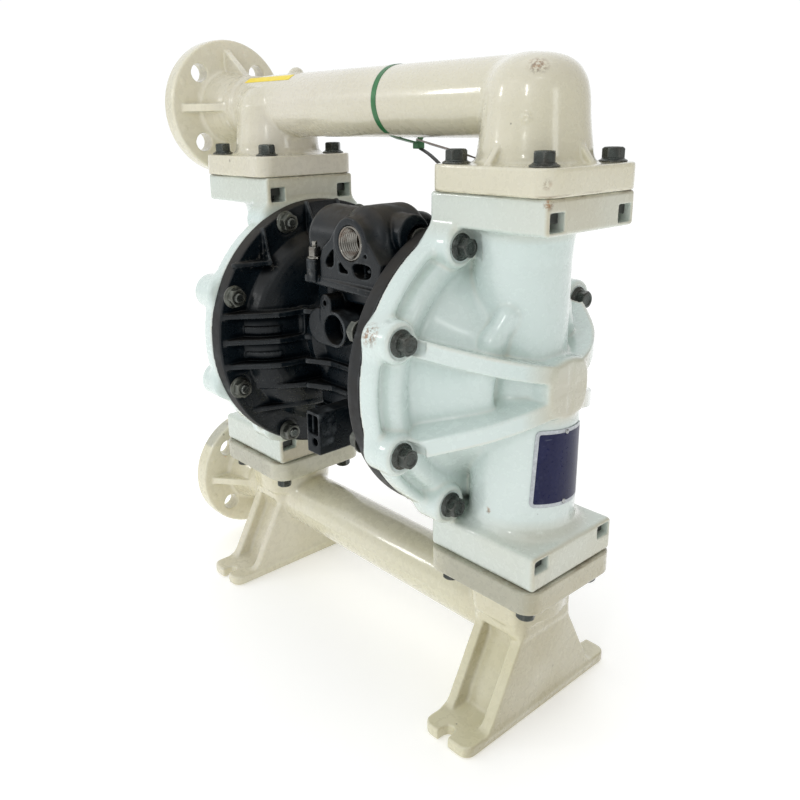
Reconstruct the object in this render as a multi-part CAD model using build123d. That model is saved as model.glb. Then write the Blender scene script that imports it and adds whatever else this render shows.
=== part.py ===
from build123d import *
import math
import os

os.makedirs("parts", exist_ok=True)

# ---------------------------------------------------------------- dimensions
# X runs along the diaphragm shaft, Z up from the floor, the air inlet faces -Y,
# the two pipe flanges face -X. All lengths are in millimetres.
XC = 141.0          # manifold necks and fluid columns, +-X
BX = 34.4           # manifold bolts, half spacing in X and Y
ZC = 249.5          # shaft height
RB = 98.9           # cover bolt circle radius
RD = 106.5          # clamp rim radius of the air and fluid covers
X_DISC = 79.0       # inner face of the air cover rim
X_JOIN = 91.8       # clamp plane between air cover and fluid cover
X_SEAT = 115.4      # seat plane of the cover bolt heads
Z_FEET = 9.0        # foot plate thickness
Z_LM0, Z_LM1 = 105.5, 122.9   # inlet manifold square flange
Z_CF0 = 147.7       # top of the cover's lower flange
Z_CF1, Z_UM0 = 353.0, 375.2   # cover's upper flange
Z_UM1 = 392.1       # top of the outlet manifold square flange
HM = 47.8           # half side of the manifold square flanges
HF_LO, HF_UP = 44.0, 44.3      # half width of the cover's lower and upper flange
X_LO0, X_LO1 = 94.8, 187.2     # cover's lower flange along X
X_UP0, X_UP1 = 93.0, 186.8     # cover's upper flange along X
Z_IN = 68.9         # inlet tube axis
R_IN = 24.5         # inlet tube outer radius
Z_OUT = 431.8       # outlet tube axis
R_OUT = 25.2        # outlet tube outer radius
R_NECK = 34.0       # manifold neck outer radius
R_BORE = 16.0       # tube bore
R_PORT = 17.0       # entry of the bore at each pipe flange
PORT_L = 40.0
X_FL0, X_FL1 = -229.7, -214.0  # pipe flange faces
R_FL = 59.4         # pipe flange radius
PCD_FL = 85.0       # pipe flange bolt circle
R_FLH = 8.0         # pipe flange holes
FOOT_X0, FOOT_X1 = 124.5, 167.5
FOOT_Y = 82.0
SLOT_X = 144.0      # centre line of the open foot slots
SLOT_R = 4.5
SLOT_Y = 75.5       # centre of the slot's round end
BALL_R = 16.0
BALL_LIFT = 8.0
SHAFT_R = 10.0
STROKE = 9.0
M8_R = 4.0
M8_AF = 12.0
M8_FL = 9.0         # flange radius of the flanged heads
ANG = [22.3, 67.1, 112.9, 157.7, 202.3, 242.1, 297.9, 337.7]  # cover bolts


# ---------------------------------------------------------------- helpers
def box(x0, x1, y0, y1, z0, z1):
    return Pos((x0 + x1) / 2, (y0 + y1) / 2, (z0 + z1) / 2) * Box(x1 - x0, y1 - y0, z1 - z0)


def xcyl(x0, x1, y, z, r):
    return Pos((x0 + x1) / 2, y, z) * Rot(0, 90, 0) * Cylinder(r, abs(x1 - x0))


def ycyl(x, y0, y1, z, r):
    return Pos(x, (y0 + y1) / 2, z) * Rot(90, 0, 0) * Cylinder(r, abs(y1 - y0))


def zcyl(x, y, z0, z1, r):
    return Pos(x, y, (z0 + z1) / 2) * Cylinder(r, abs(z1 - z0))


def rev_x(pts, z=ZC, y=0.0):
    """Solid of revolution about an X line; pts are (x, radius)."""
    face = make_face(Polyline(*[(p[0], p[1]) for p in pts], close=True))
    return Pos(0, y, z) * revolve(face, Axis.X, 360)


def rev_z(pts, x, y=0.0):
    """Solid of revolution about a vertical line; pts are (radius, z)."""
    face = make_face(Plane.XZ * Polyline(*[(p[0], p[1]) for p in pts], close=True))
    return Pos(x, y, 0) * revolve(face, Axis.Z, 360)


def hexx(x0, x1, y, z, af):
    """Hexagonal prism along X with two corners pointing up and down."""
    return Pos(x0, y, z) * Rot(0, 90, 0) * extrude(RegularPolygon(af / 2, 6, major_radius=False), x1 - x0)


def hexz(x, y, z0, z1, af, turn=0):
    return Pos(x, y, z0) * Rot(0, 0, turn) * extrude(RegularPolygon(af / 2, 6, major_radius=False), z1 - z0)


def prism_y(pts, y0, y1):
    """Polygon in X-Z extruded from y0 to y1."""
    f = make_face(Polyline(*[(p[0], y0, p[1]) for p in pts], close=True))
    return extrude(f, amount=y1 - y0, dir=(0, 1, 0))


def prism_x(pts, x0, x1):
    """Polygon in Y-Z extruded from x0 to x1."""
    f = make_face(Polyline(*[(x0, p[0], p[1]) for p in pts], close=True))
    return extrude(f, amount=x1 - x0, dir=(1, 0, 0))


def prism_z(pts, z0, z1):
    """Polygon in X-Y extruded from z0 to z1."""
    f = make_face(Polyline(*[(p[0], p[1], z0) for p in pts], close=True))
    return extrude(f, amount=z1 - z0, dir=(0, 0, 1))


def rounded_plate(x, y, hx, hy, z0, z1, r):
    return Pos(x, y, z0) * extrude(RectangleRounded(2 * hx, 2 * hy, r), z1 - z0)


def mir(s):
    return mirror(s, about=Plane.YZ)


def group(items):
    out = []
    for it in items:
        out += list(it.solids())
    return Compound(children=out)


def save(name, shape):
    export_step(shape, f"parts/{name}.step")


def one(shape):
    s = shape.solids()
    return s[0] if len(s) == 1 else shape


# ---------------------------------------------------------------- inlet manifold
def pipe_flange(zc, rt):
    """Round end flange, its hub and four gussets, before boring."""
    body = rev_x([(X_FL0 + 1.5, 0), (X_FL0, 1.5), (X_FL0, R_FL - 1.5), (X_FL0 + 1.5, R_FL),
                  (X_FL1 - 5.0, R_FL), (X_FL1 - 1.4, R_FL - 1.5), (X_FL1, R_FL - 5.0),
                  (X_FL1, 0)], z=zc)
    hub = rev_x([(X_FL1 - 1, 0), (X_FL1 - 1, 33.5), (-196, 33.0), (-186, rt + 3.0), (-176, rt), (-176, 0)], z=zc)
    body += hub
    for a in (0, 90, 180, 270):
        g = prism_y([(X_FL1 - 1, rt - 4), (X_FL1 - 1, 50.0), (X_FL1, 50.0), (-181.0, rt - 1.0), (-181.0, rt - 4)], -3.6, 3.6)
        body += Pos(0, 0, zc) * Rot(a, 0, 0) * g
    return body


def flange_cuts(zc):
    cut = None
    for a in (45, 135, 225, 315):
        c = xcyl(X_FL0 - 1, X_FL1 + 12, PCD_FL / 2 * math.cos(math.radians(a)),
                 zc + PCD_FL / 2 * math.sin(math.radians(a)), R_FLH)
        cut = c if cut is None else cut + c
    return cut


def foot(x_in, x_out):
    """One foot frame; x_in faces the pump centre, x_out faces away."""
    s = 1 if x_out > 0 else -1
    lo, hi = min(x_in, x_out), max(x_in, x_out)
    base = Pos((lo + hi) / 2, 0, 0) * extrude(RectangleRounded(hi - lo, 2 * FOOT_Y, 9.0), Z_FEET)
    for yy in (-1, 1):
        y1 = yy * (FOOT_Y + 5)
        base -= box(s * SLOT_X - SLOT_R, s * SLOT_X + SLOT_R, min(yy * SLOT_Y, y1), max(yy * SLOT_Y, y1), -1, Z_FEET + 1)
        base -= zcyl(s * SLOT_X, yy * SLOT_Y, -1, Z_FEET + 1, SLOT_R)
    half = [(64.0, Z_FEET - 1), (60.0, 9.5), (55.0, 16.0), (51.5, 23.0), (47.0, 31.0), (41.0, 42.5), (35.5, 53.0), (29.0, 65.0), (25.0, 76.0), (25.0, 92.0)]
    trap = half + [(-a, b) for a, b in half[::-1]]
    outer = prism_x(trap, min(s * 158.0, x_out), max(s * 158.0, x_out))
    inner = prism_x(trap, min(x_in, s * 132.5), max(x_in, s * 132.5))
    web = prism_x([(-46, Z_FEET - 1), (46, Z_FEET - 1), (40, 22), (22, 56), (20, 80), (-20, 80), (-22, 56), (-40, 22)],
                  min(s * 131.0, s * 159.0), max(s * 131.0, s * 159.0))
    # solid block above the pocket, widening towards the flange
    a0, a1 = min(s * 122.5, s * 168.0), max(s * 122.5, s * 168.0)
    lower = Pos((a0 + a1) / 2, 0, 68.5) * RectangleRounded(a1 - a0, 59.0, 8.0)
    upper = Pos((a0 + a1) / 2, 0, 106.5) * RectangleRounded(a1 - a0, 71.5, 8.0)
    block = loft([lower.face(), upper.face()])
    return base + outer + inner + web + block


inlet_manifold = pipe_flange(Z_IN, R_IN) + xcyl(-180, 130, 0, Z_IN, R_IN)
for sx in (-1, 1):
    xc = sx * XC
    inlet_manifold += rev_z([(0, 80), (33.5, 80), (34.5, 96), (36.5, Z_LM0 + 1), (0, Z_LM0 + 1)], xc)
    inlet_manifold += rounded_plate(xc, 0, HM, HM, Z_LM0, Z_LM1, 12.5)
    inlet_manifold += foot(sx * FOOT_X0, sx * FOOT_X1)
inlet_manifold -= xcyl(X_FL0 - 1, 141, 0, Z_IN, R_BORE)
inlet_manifold -= xcyl(X_FL0 - 1, X_FL0 + PORT_L, 0, Z_IN, R_PORT)
inlet_manifold -= Pos(141, 0, Z_IN) * Sphere(R_BORE)
inlet_manifold -= flange_cuts(Z_IN)
for sx in (-1, 1):
    xc = sx * XC
    inlet_manifold -= zcyl(xc, 0, Z_IN, Z_LM1 + 1, 18.0)
    inlet_manifold -= zcyl(xc, 0, Z_LM1 - 5.0, Z_LM1 + 1, 24.0)     # seat pocket
    for bx in (-BX, BX):
        for by in (-BX, BX):
            inlet_manifold -= zcyl(xc + bx, by, Z_LM0 - 1, Z_LM1 + 1, 4.3)

# ---------------------------------------------------------------- outlet manifold
outlet_manifold = pipe_flange(Z_OUT, R_OUT) + xcyl(-180, 141, 0, Z_OUT, R_OUT)
outlet_manifold += rev_z([(0, Z_UM1 - 1), (36.4, Z_UM1 - 1), (35.6, 402), (33.5, 417), (32.2, 436), (28.6, 446), (21.5, 453.0), (10.7, 456.8), (0, 457.0)], XC)
outlet_manifold += rev_z([(0, Z_UM1 - 1), (36.4, Z_UM1 - 1), (35.6, 402), (33.6, 417), (32.6, 432), (29.5, 440), (24.0, 446), (0, 448)], -XC)
outlet_manifold += Pos(-108.5, 0.0, 455.2) * Sphere(6.6)             # moulded gate boss
for sx in (-1, 1):
    outlet_manifold += rounded_plate(sx * XC, 0, HM, HM, Z_UM0, Z_UM1, 12.5)
    for a in (0, 90, 180, 270):
        g = prism_y([(30, Z_UM1 - 1), (30, Z_UM1 + 12), (35.5, Z_UM1 + 12), (44.5, Z_UM1 + 1.5), (44.5, Z_UM1 - 1)], -2.6, 2.6)
        outlet_manifold += Pos(sx * XC, 0, 0) * Rot(0, 0, a) * g
outlet_manifold -= xcyl(X_FL0 - 1, 141, 0, Z_OUT, R_BORE)
outlet_manifold -= xcyl(X_FL0 - 1, X_FL0 + PORT_L, 0, Z_OUT, R_PORT)
outlet_manifold -= Pos(141, 0, Z_OUT) * Sphere(R_BORE)
outlet_manifold -= flange_cuts(Z_OUT)
for sx in (-1, 1):
    xc = sx * XC
    outlet_manifold -= zcyl(xc, 0, Z_UM0 - 1, 414.6, 25.5)           # ball cage
    outlet_manifold -= zcyl(xc, 0, 410, Z_OUT, R_BORE)
    outlet_manifold += box(xc - 26.5, xc + 26.5, -2.2, 2.2, 410.6, 414.6)  # ball stop bar
    for a in (0, 90, 180, 270):
        outlet_manifold += Pos(xc, 0, 0) * Rot(0, 0, a + 45) * box(17.4, 26.5, -1.8, 1.8, 383.0, 414.8)
    for bx in (-BX, BX):
        for by in (-BX, BX):
            outlet_manifold -= zcyl(xc + bx, by, Z_UM0 - 1, Z_UM1 + 1, 4.3)


# ---------------------------------------------------------------- fluid covers
def fluid_cover():
    c = rev_x([(X_JOIN, 0), (X_JOIN, RD - 0.8), (X_JOIN + 0.8, RD), (102.5, RD), (104.8, 105.2), (105.2, 103.4),
               (104.0, 100.8), (101.6, 99.2), (100.8, 97.2), (102.6, 95.2), (107.0, 93.4), (109.8, 90.8), (110.4, 87.0),
               (109.8, 82.0), (108.2, 78.8), (109.6, 75.0), (117.0, 69.0), (130.0, 60.0), (138.0, 53.0), (143.0, 47.5),
               (145.0, 42.0), (143.6, 38.2), (141.0, 35.0), (140.0, 30.0), (140.0, 0)])
    # fluid columns
    c += rev_z([(0, Z_CF0 - 8), (39.5, Z_CF0 - 8), (39.5, Z_CF0 + 1), (37.2, Z_CF0 + 6), (36.5, Z_CF0 + 12), (36.5, 226), (34.0, 236),
                (29.0, 243), (0, 246)], XC)
    c += rev_z([(0, 240), (31.5, 240), (31.5, 344), (34.0, 350), (36.0, Z_CF1 + 1), (0, Z_CF1 + 1)], 134.5)
    # square flanges
    c += box(X_LO0, X_LO1, -HF_LO, HF_LO, Z_LM1, Z_CF0)
    c += box(X_UP0, X_UP1, -HF_UP, HF_UP, Z_CF1, Z_UM0)
    # bolt bosses
    for a in ANG:
        y, z = RB * math.cos(math.radians(a)), ZC + RB * math.sin(math.radians(a))
        c += xcyl(X_JOIN, X_SEAT, y, z, 14.0)
    # front hub
    c += prism_x([(-20, 240), (-20, 262), (-12, 271.5), (12, 271.5), (20, 262), (20, 240), (12, 231), (-12, 231)], 135, 177.2)
    # radial stiffening ribs from the side bosses to the hub
    for sy in (-1, 1):
        for sz in (-1, 1):
            secs = []
            for (y, x0, x1, dz) in ((92.0, 92.5, 113.2, 37.0), (57.0, 112.0, 151.0, 22.2), (40.0, 122.0, 166.0, 17.2), (16.0, 130.0, 176.6, 12.7)):
                z = ZC + sz * dz
                secs.append(make_face(Polyline((x0, sy * y, z - 5.3), (x1, sy * y, z - 5.3), (x1, sy * y, z + 5.3), (x0, sy * y, z + 5.3), close=True)))
            c += loft(secs, ruled=True)
    # cavities
    c -= rev_x([(X_JOIN - 1, 0), (X_JOIN - 1, 85.5), (X_JOIN + 1.5, 85.5), (99.0, 82.5), (103.5, 74.5), (113.0, 60.5), (121.5, 47.0), (127.0, 35.0), (129.5, 24.0),
                (129.5, 0)])
    # diaphragm bead groove
    c -= rev_x([(X_JOIN - 1, 85.0), (X_JOIN + 2.5, 85.0), (X_JOIN + 2.5, 92.2), (X_JOIN - 1, 92.2)])
    # valve chambers
    c -= zcyl(XC, 0, Z_LM1 - 1, Z_LM1 + 5.0, 24.0)                   # seat pocket
    c -= zcyl(XC, 0, Z_LM1 + 4.0, 212.0, 26.0)
    c -= Pos(XC, 0, 206.0) * Sphere(26.0)
    c -= xcyl(104.0, XC, 0, 206.0, 17.0)
    c -= zcyl(137.0, 0, 292.0, Z_UM0 - 4.0, 21.5)
    c -= zcyl(XC, 0, Z_UM0 - 9.0, Z_UM0 + 1, 18.0)
    c -= zcyl(XC, 0, Z_UM0 - 5.0, Z_UM0 + 1, 24.0)                   # seat pocket
    c -= xcyl(104.0, 137.0, 0, 300.0, 15.0)
    # ball guides and stop in the lower chamber
    for a in (0, 90, 180, 270):
        c += Pos(XC, 0, 0) * Rot(0, 0, a + 45) * box(17.4, 27.0, -1.8, 1.8, Z_LM1 + 8.0, 164.0)
    c += box(XC - 27, XC + 27, -2.2, 2.2, 161.6, 166.0)
    # bolt holes in the rim
    for a in ANG:
        y, z = RB * math.cos(math.radians(a)), ZC + RB * math.sin(math.radians(a))
        c -= xcyl(X_JOIN - 1, X_SEAT + 1, y, z, 4.3)
        c -= xcyl(X_SEAT, X_SEAT + 11, y, z, 10.2)
    # manifold bolt holes and square nut pockets
    for bx in (-BX, BX):
        for by in (-BX, BX):
            x = XC + bx
            c -= zcyl(x, by, Z_LM1 - 1, Z_CF0 - 2.0, 4.3)
            c -= zcyl(x, by, Z_CF1 + 2.0, Z_UM0 + 1, 4.3)
            x0, x1 = (x - 6.7, X_LO1 + 1) if bx > 0 else (X_UP0 - 1, x + 6.7)
            c -= box(x0, x1, by - 6.7, by + 6.7, 136.2, 144.6)
            c -= box(x0, x1, by - 6.7, by + 6.7, 355.6, 366.6)
    return c


fluid_near = fluid_cover()
fluid_far = mir(fluid_near)


# ---------------------------------------------------------------- air covers
def air_cover(far):
    """Rim disc with a domed air chamber on its back, drawn on the +X side."""
    dome = [(X_DISC, 83.0), (72.0, 80.0), (65.0, 72.0), (60.0, 61.0), (57.5, 50.0), (56.0, 40.0), (52.0, 36.0)]
    c = rev_x([(X_JOIN, 0), (X_JOIN, RD), (X_DISC + 1.0, RD), (X_DISC, RD - 1.0)] + dome + [(52.0, 0)])
    skin = rev_x([(X_DISC + 2, 0), (X_DISC + 2, 84.5)] + [(a - 0.9, b + 0.6) for a, b in dome] + [(51.1, 0)])
    for sy in (-1, 1):
        # fins over the dome; three reach the rim
        for z in (230.3, 250.6, 271.8):
            c += prism_z([(X_DISC + 1, sy * 102.6), (X_DISC, sy * 102.6), (71.5, sy * 91.3), (61.9, sy * 78.9), (54.6, sy * 66.0),
                          (52.4, sy * 56.5), (52.0, sy * 45), (52.0, sy * 20), (X_DISC + 1, sy * 20)], z - 2.25, z + 2.25)
        c += prism_z([(X_DISC + 1, sy * 75.5), (X_DISC, sy * 75.5), (66, sy * 63), (56, sy * 50), (52.0, sy * 44), (52.0, sy * 20), (X_DISC + 1, sy * 20)], 206.8, 211.3)
        c += prism_z([(X_DISC + 1, sy * 79), (X_DISC, sy * 79), (72, sy * 59), (63, sy * 35), (61, sy * 20), (X_DISC + 1, sy * 20)], 186.0, 190.6)
        # closed end between the two upper fins, low pads on the flank
        c += box(52.3, 60, min(sy * 38.5, sy * 43), max(sy * 38.5, sy * 43), 250.0, 272.0)
        for z0, z1 in ((255.2, 261.6), (234.4, 240.6)):
            c += skin & box(59.0, X_DISC + 0.4, min(sy * 60.5, sy * 84.5), max(sy * 60.5, sy * 84.5), z0, z1)
        # thin upright web above the dome
        c += prism_y([(82, 300), (82, 350), (79.2, 350), (70.3, 324.5), (64, 303), (64, 300)], min(sy * 17.4, sy * 14.6), max(sy * 17.4, sy * 14.6))
        if far or sy > 0:
            c += prism_y([(82, 309), (82, 338), (78, 338), (71, 313), (71, 309)], min(sy * 61.2, sy * 58.8), max(sy * 61.2, sy * 58.8))
            c += prism_z([(82, sy * 84), (79, sy * 84), (71, sy * 62), (71, sy * 40), (82, sy * 40)], 309.0, 313.0)
    # air chamber and diaphragm bead groove
    c -= rev_x([(X_JOIN + 1, 0), (X_JOIN + 1, 85.5), (X_JOIN - 2.0, 85.5), (85.0, 82.0), (77.0, 75.5), (70.5, 67.0), (66.5, 58.0), (64.5, 52.0), (64.5, 0)])
    c -= rev_x([(X_JOIN + 1, 85.0), (X_JOIN - 2.5, 85.0), (X_JOIN - 2.5, 92.2), (X_JOIN + 1, 92.2)])
    c -= xcyl(50, 66, 0, ZC, SHAFT_R + 1.5)
    c -= xcyl(50, 66, 0, ZC + 26.0, 3.6)
    c -= xcyl(50, 66, 0, ZC - 26.0, 3.6)
    for a in ANG:
        y, z = RB * math.cos(math.radians(a)), ZC + RB * math.sin(math.radians(a))
        c -= xcyl(X_DISC - 12, X_JOIN + 1, y, z, 4.3)
        c -= xcyl(X_DISC - 14, X_DISC, y, z, 10.4)
    for (y, z) in CENTRE_SCREWS:
        c -= xcyl(50, 66, y, z, 2.7)
    return c


CENTRE_SCREWS = [(-24.0, ZC + 30.0), (24.0, ZC + 30.0), (-24.0, ZC - 30.0), (24.0, ZC - 30.0)]
air_near = air_cover(False)
air_far = mir(air_cover(True))

# ---------------------------------------------------------------- centre housing
XH = 52.0
VY, VZ, VR = -42.0, 336.5, 25.0        # valve barrel axis and radius
PX, PY, PZ = 47.0, -74.0, 339.8        # air inlet port face centre
EX_X, EX_Y, EX_Z = 12.0, -63.4, 271.5  # exhaust port face
EX_R = 10.9
GX, GY = 5.3, -72.5                    # ground stud
housing = rev_x([(-XH, 0), (-XH, 42), (-44, 42), (-37, 35), (37, 35), (44, 42), (XH, 42), (XH, 0)])
housing += box(-XH, XH, -30, 30, 190, 300)
for sy in (-1, 1):
    for z in (209.1, 230.3, 250.6, 271.8):
        housing += prism_z([(-XH, sy * 45), (-44, sy * 41), (-30, sy * 35), (30, sy * 35), (44, sy * 41), (XH, sy * 45), (XH, 0), (-XH, 0)], z - 2.25, z + 2.25)
    housing += box(-XH, XH, min(sy * 20, sy * 37), max(sy * 20, sy * 37), 186.0, 190.6)
# shelf, valve barrel and air inlet body
housing += prism_z([(-8, -73), (77, -78), (77, -60), (59, -50), (59, -30), (50, 12), (-24, 12), (-24, -46)], 306.0, 311.5)
housing += box(-14, 50, -50, 10, 292, 308)
housing += rev_x([(-15.5, 0), (-15.5, 16.0), (-11.0, 22.0), (-6.5, 24.2), (5.0, 23.8), (59.2, 21.6), (59.2, 0)], z=VZ, y=VY)
housing += prism_z([(-10, -62), (59.2, -62), (59.2, -18), (-10, -18)], 310, 334)
housing += prism_y([(12, 308), (12, 325), (16, 334), (24, 340), (31, 349), (37.5, 355), (45.0, 357.6), (52.9, 356), (77.3, 328), (77.3, 308)], PY, -48.0)
housing += ycyl(PX, PY - 0.4, -44, PZ, 17.2)
housing += ycyl(PX, -64, -21, PZ, 23.9)
housing += xcyl(55, 77.5, -43.0, 344.6, 14.3)
# second lobe of the valve body, towards the rear
housing += xcyl(-8, 56, -12, 339.5, 17.0)
housing += box(-22, 46, 8, 34, 296, 326)
housing += xcyl(-22, 46, 20, 326, 14)
# exhaust boss, lug above it, lower bracket
housing += ycyl(-5.5, EX_Y, -28, EX_Z, 13.6)
housing += ycyl(EX_X, EX_Y, -28, EX_Z, 13.6)
housing += box(-5.5, EX_X, EX_Y, -28, EX_Z - 13.6, EX_Z + 13.6)
housing += ycyl(3.1, EX_Y, -44, 290.3, 6.5)
housing += box(-3.4, 9.6, EX_Y, -44, 275, 290.3)
housing += box(-7.2, 8.4, -77.5, -10, 174.0, 222.0)
housing += box(-7.5, 7.5, 10, 62, 180.0, 216.0)
# ground stud boss
housing += box(GX - 5.1, GX + 5.1, GY - 4.8, GY + 9.0, 309, 325.0)
# bores and pockets
housing -= xcyl(-XH - 1, XH + 1, 0, ZC, SHAFT_R + 0.6)
for s in (-1, 1):
    housing -= xcyl(min(s * 30, s * (XH + 1)), max(s * 30, s * (XH + 1)), 0, ZC, 13.0)
    housing -= xcyl(min(s * 36, s * (XH + 1)), max(s * 36, s * (XH + 1)), 0, ZC + 26.0, 3.06)
    housing -= xcyl(min(s * 36, s * (XH + 1)), max(s * 36, s * (XH + 1)), 0, ZC - 26.0, 3.06)
    for (y, z) in CENTRE_SCREWS:
        housing -= xcyl(min(s * 40, s * (XH + 1)), max(s * 40, s * (XH + 1)), y, z, 2.5)
housing -= xcyl(-12, 60.5, VY, VZ, 14.0)                              # valve bore
housing -= ycyl(PX, PY - 1, -57, PZ, 12.0)                            # insert bore
housing -= ycyl(PX, -58, -52, PZ, 7.0)
housing -= ycyl(EX_X, EX_Y - 1, EX_Y + 15.4, EX_Z, EX_R)              # exhaust port
housing -= ycyl(EX_X, EX_Y + 14.0, EX_Y + 21.0, EX_Z, 7.0)
housing -= ycyl(3.1, EX_Y - 1, EX_Y + 12.0, 290.3, 1.9)               # lug hole
housing -= prism_y([(18.8, 323.5), (20.6, 321.2), (25.0, 321.0), (28.0, 323.4), (28.4, 334.5), (24.6, 331.5), (21.0, 328.0)], -75, -64)   # casting pockets
housing -= prism_y([(33.4, 325.0), (36.0, 325.0), (40.0, 321.6), (43.2, 320.4), (43.2, 318.8), (34.4, 318.6)], -75, -66)
housing -= prism_y([(49.5, 326.6), (65.4, 326.6), (67.6, 322.6), (65.4, 318.2), (56.0, 317.0), (50.2, 319.2)], -75, -64)
housing -= ycyl(2.7, -78.5, -64, 184.0, 2.9)                          # bracket hole and opening
housing -= box(-5.6, 6.6, -78.5, -62, 190.0, 208.5)
housing -= zcyl(GX, GY, 312, 326, 2.02)                               # ground stud hole
# clear of the near air cover and the nut beside the barrel's end
housing -= rev_x([(52.6, 0), (52.6, 36.6), (55.4, 40.0), (56.8, 50.5), (59.2, 61.6), (63.8, 72.8), (71.2, 81.2), (78.0, 84.2), (78.0, 108.5), (95, 108.5), (95, 0)])
NUT_Y, NUT_Z = RB * math.cos(math.radians(112.9)), ZC + RB * math.sin(math.radians(112.9))
housing -= xcyl(60.5, 84, NUT_Y, NUT_Z, 10.9)

# ---------------------------------------------------------------- small pieces of the air motor
insert = ycyl(PX, PY - 0.6, -57, PZ, 12.0) - ycyl(PX, PY - 2, -50, PZ, 10.48)
cap_end = xcyl(53.0, 59.2, VY, VZ, 13.95) - xcyl(57.0, 60.0, VY, VZ, 8.0)
sleeve = xcyl(-11.8, 52.5, VY, VZ, 13.95) - xcyl(-13, 56, VY, VZ, 9.5)
spool = xcyl(-5.5, 46.5, VY, VZ, 5.5)
for x0 in (-5.5, 9.2, 23.9, 38.5):
    spool += xcyl(x0, x0 + 8.0, VY, VZ, 9.44)
ground_screw = zcyl(GX, GY, 313, 337.3, 2.0)
ground_nut = (hexz(GX, GY, 326.5, 333.5, 8.0) + zcyl(GX, GY, 325.0, 326.6, 5.4)) - zcyl(GX, GY, 320, 335, 2.0)
bushes = []
seals = []
for s in (-1, 1):
    bushes.append(xcyl(min(s * 38, s * XH), max(s * 38, s * XH), 0, ZC, 13.0) - xcyl(-60, 60, 0, ZC, SHAFT_R + 0.05))
    seals.append(xcyl(min(s * 32, s * 38), max(s * 32, s * 38), 0, ZC, 13.0) - xcyl(-60, 60, 0, ZC, SHAFT_R + 0.35))
centre_screws = []
for s in (-1, 1):
    for (y, z) in CENTRE_SCREWS:
        scr = xcyl(min(s * 42, s * 64.5), max(s * 42, s * 64.5), y, z, 2.5)
        scr += xcyl(min(s * 64.5, s * 68.0), max(s * 64.5, s * 68.0), y, z, 4.6)
        centre_screws.append(scr)

# ---------------------------------------------------------------- shaft and diaphragms
shaft = xcyl(-86, 86, 0, ZC, SHAFT_R)
for s in (-1, 1):
    shaft -= xcyl(min(s * 66, s * 87), max(s * 66, s * 87), 0, ZC, 5.0)
air_plates, fluid_plates, shaft_bolts = [], [], []


def air_plate():
    return rev_x([(86, 5.0), (86, 46), (87.5, 50), (90.0, 51), (91.0, 50), (91.0, 5.0)])


def fluid_plate():
    return rev_x([(94, 5.0), (94, 44), (96, 46), (98.5, 44), (101, 30), (101, 5.0)])


def diaphragm():
    return rev_x([(91.0, 5.0), (91.0, 52), (88.5, 58), (87.6, 66), (88.6, 76), (X_JOIN - 1.4, 85.2), (X_JOIN - 2.4, 85.6), (X_JOIN - 2.4, 91.9),
                  (X_JOIN + 2.4, 91.9), (X_JOIN + 2.4, 85.6), (X_JOIN + 1.4, 85.2), (91.6, 76), (90.6, 66), (91.5, 58), (94.0, 51.5), (94.0, 5.0)])


def shaft_bolt():
    return xcyl(67, 101, 0, ZC, 5.0) + hexx(101, 107, 0, ZC, 17.0)


# ---------------------------------------------------------------- check valves
def seat(z_mid):
    """Ball seat ring held in matching pockets of manifold and cover."""
    return rev_z([(14.2, z_mid - 4.9), (23.9, z_mid - 4.9), (23.9, z_mid - 1.4), (22.0, z_mid - 1.4), (22.0, z_mid + 1.4), (23.9, z_mid + 1.4),
                  (23.9, z_mid + 4.9), (16.6, z_mid + 4.9), (13.0, z_mid + 0.5), (13.0, z_mid - 3.0)], XC)


def o_ring(z_mid):
    r = rev_z([(22.0, z_mid - 1.35), (23.95, z_mid - 1.35), (23.95, z_mid + 1.35), (22.0, z_mid + 1.35)], XC)
    return r


def ball_z(z_mid):
    """Ball centre that keeps 0.3 mm off the conical seat face."""
    x0, y0, x1, y1 = 16.6, z_mid + 4.9, 13.0, z_mid + 0.5
    nx, ny = (y0 - y1), -(x0 - x1)
    n = math.hypot(nx, ny)
    # distance of the point (0, z) from the seat line equals ball radius + 0.3
    need = (BALL_R + 0.3) * n
    z = y0 - (need - x0 * nx) / ny * 1.0
    z = y0 + (x0 * nx - need) / ny
    d = abs((0 - x0) * nx + (z - y0) * ny) / n
    top = math.hypot(16.6, z - y0)
    print("ball centre", round(z, 3), "distance to seat face", round(d, 3), "to its top edge", round(top, 3))
    return z


Z_SEAT_IN, Z_SEAT_OUT = Z_LM1, Z_UM0
zb_in, zb_out = ball_z(Z_SEAT_IN), ball_z(Z_SEAT_OUT)
ball_in = Pos(XC, 0, zb_in) * Sphere(BALL_R)
ball_out = Pos(XC, 0, zb_out) * Sphere(BALL_R)


# ---------------------------------------------------------------- fasteners
def cover_bolt(a):
    y, z = RB * math.cos(math.radians(a)), ZC + RB * math.sin(math.radians(a))
    b = xcyl(X_DISC - 10.0, X_SEAT, y, z, M8_R)
    b += xcyl(X_SEAT, X_SEAT + 1.6, y, z, M8_FL)
    b += xcyl(X_SEAT + 1.6, X_SEAT + 2.8, y, z, 7.2)
    b += hexx(X_SEAT + 2.6, X_SEAT + 9.0, y, z, M8_AF)
    return b


def cover_nut(a):
    y, z = RB * math.cos(math.radians(a)), ZC + RB * math.sin(math.radians(a))
    n = xcyl(X_DISC - 1.6, X_DISC, y, z, M8_FL) + xcyl(X_DISC - 2.8, X_DISC - 1.6, y, z, 7.2)
    n += hexx(X_DISC - 8.6, X_DISC - 2.6, y, z, 13.0)
    n -= xcyl(X_DISC - 20, X_DISC + 5, y, z, M8_R)
    return n


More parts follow.
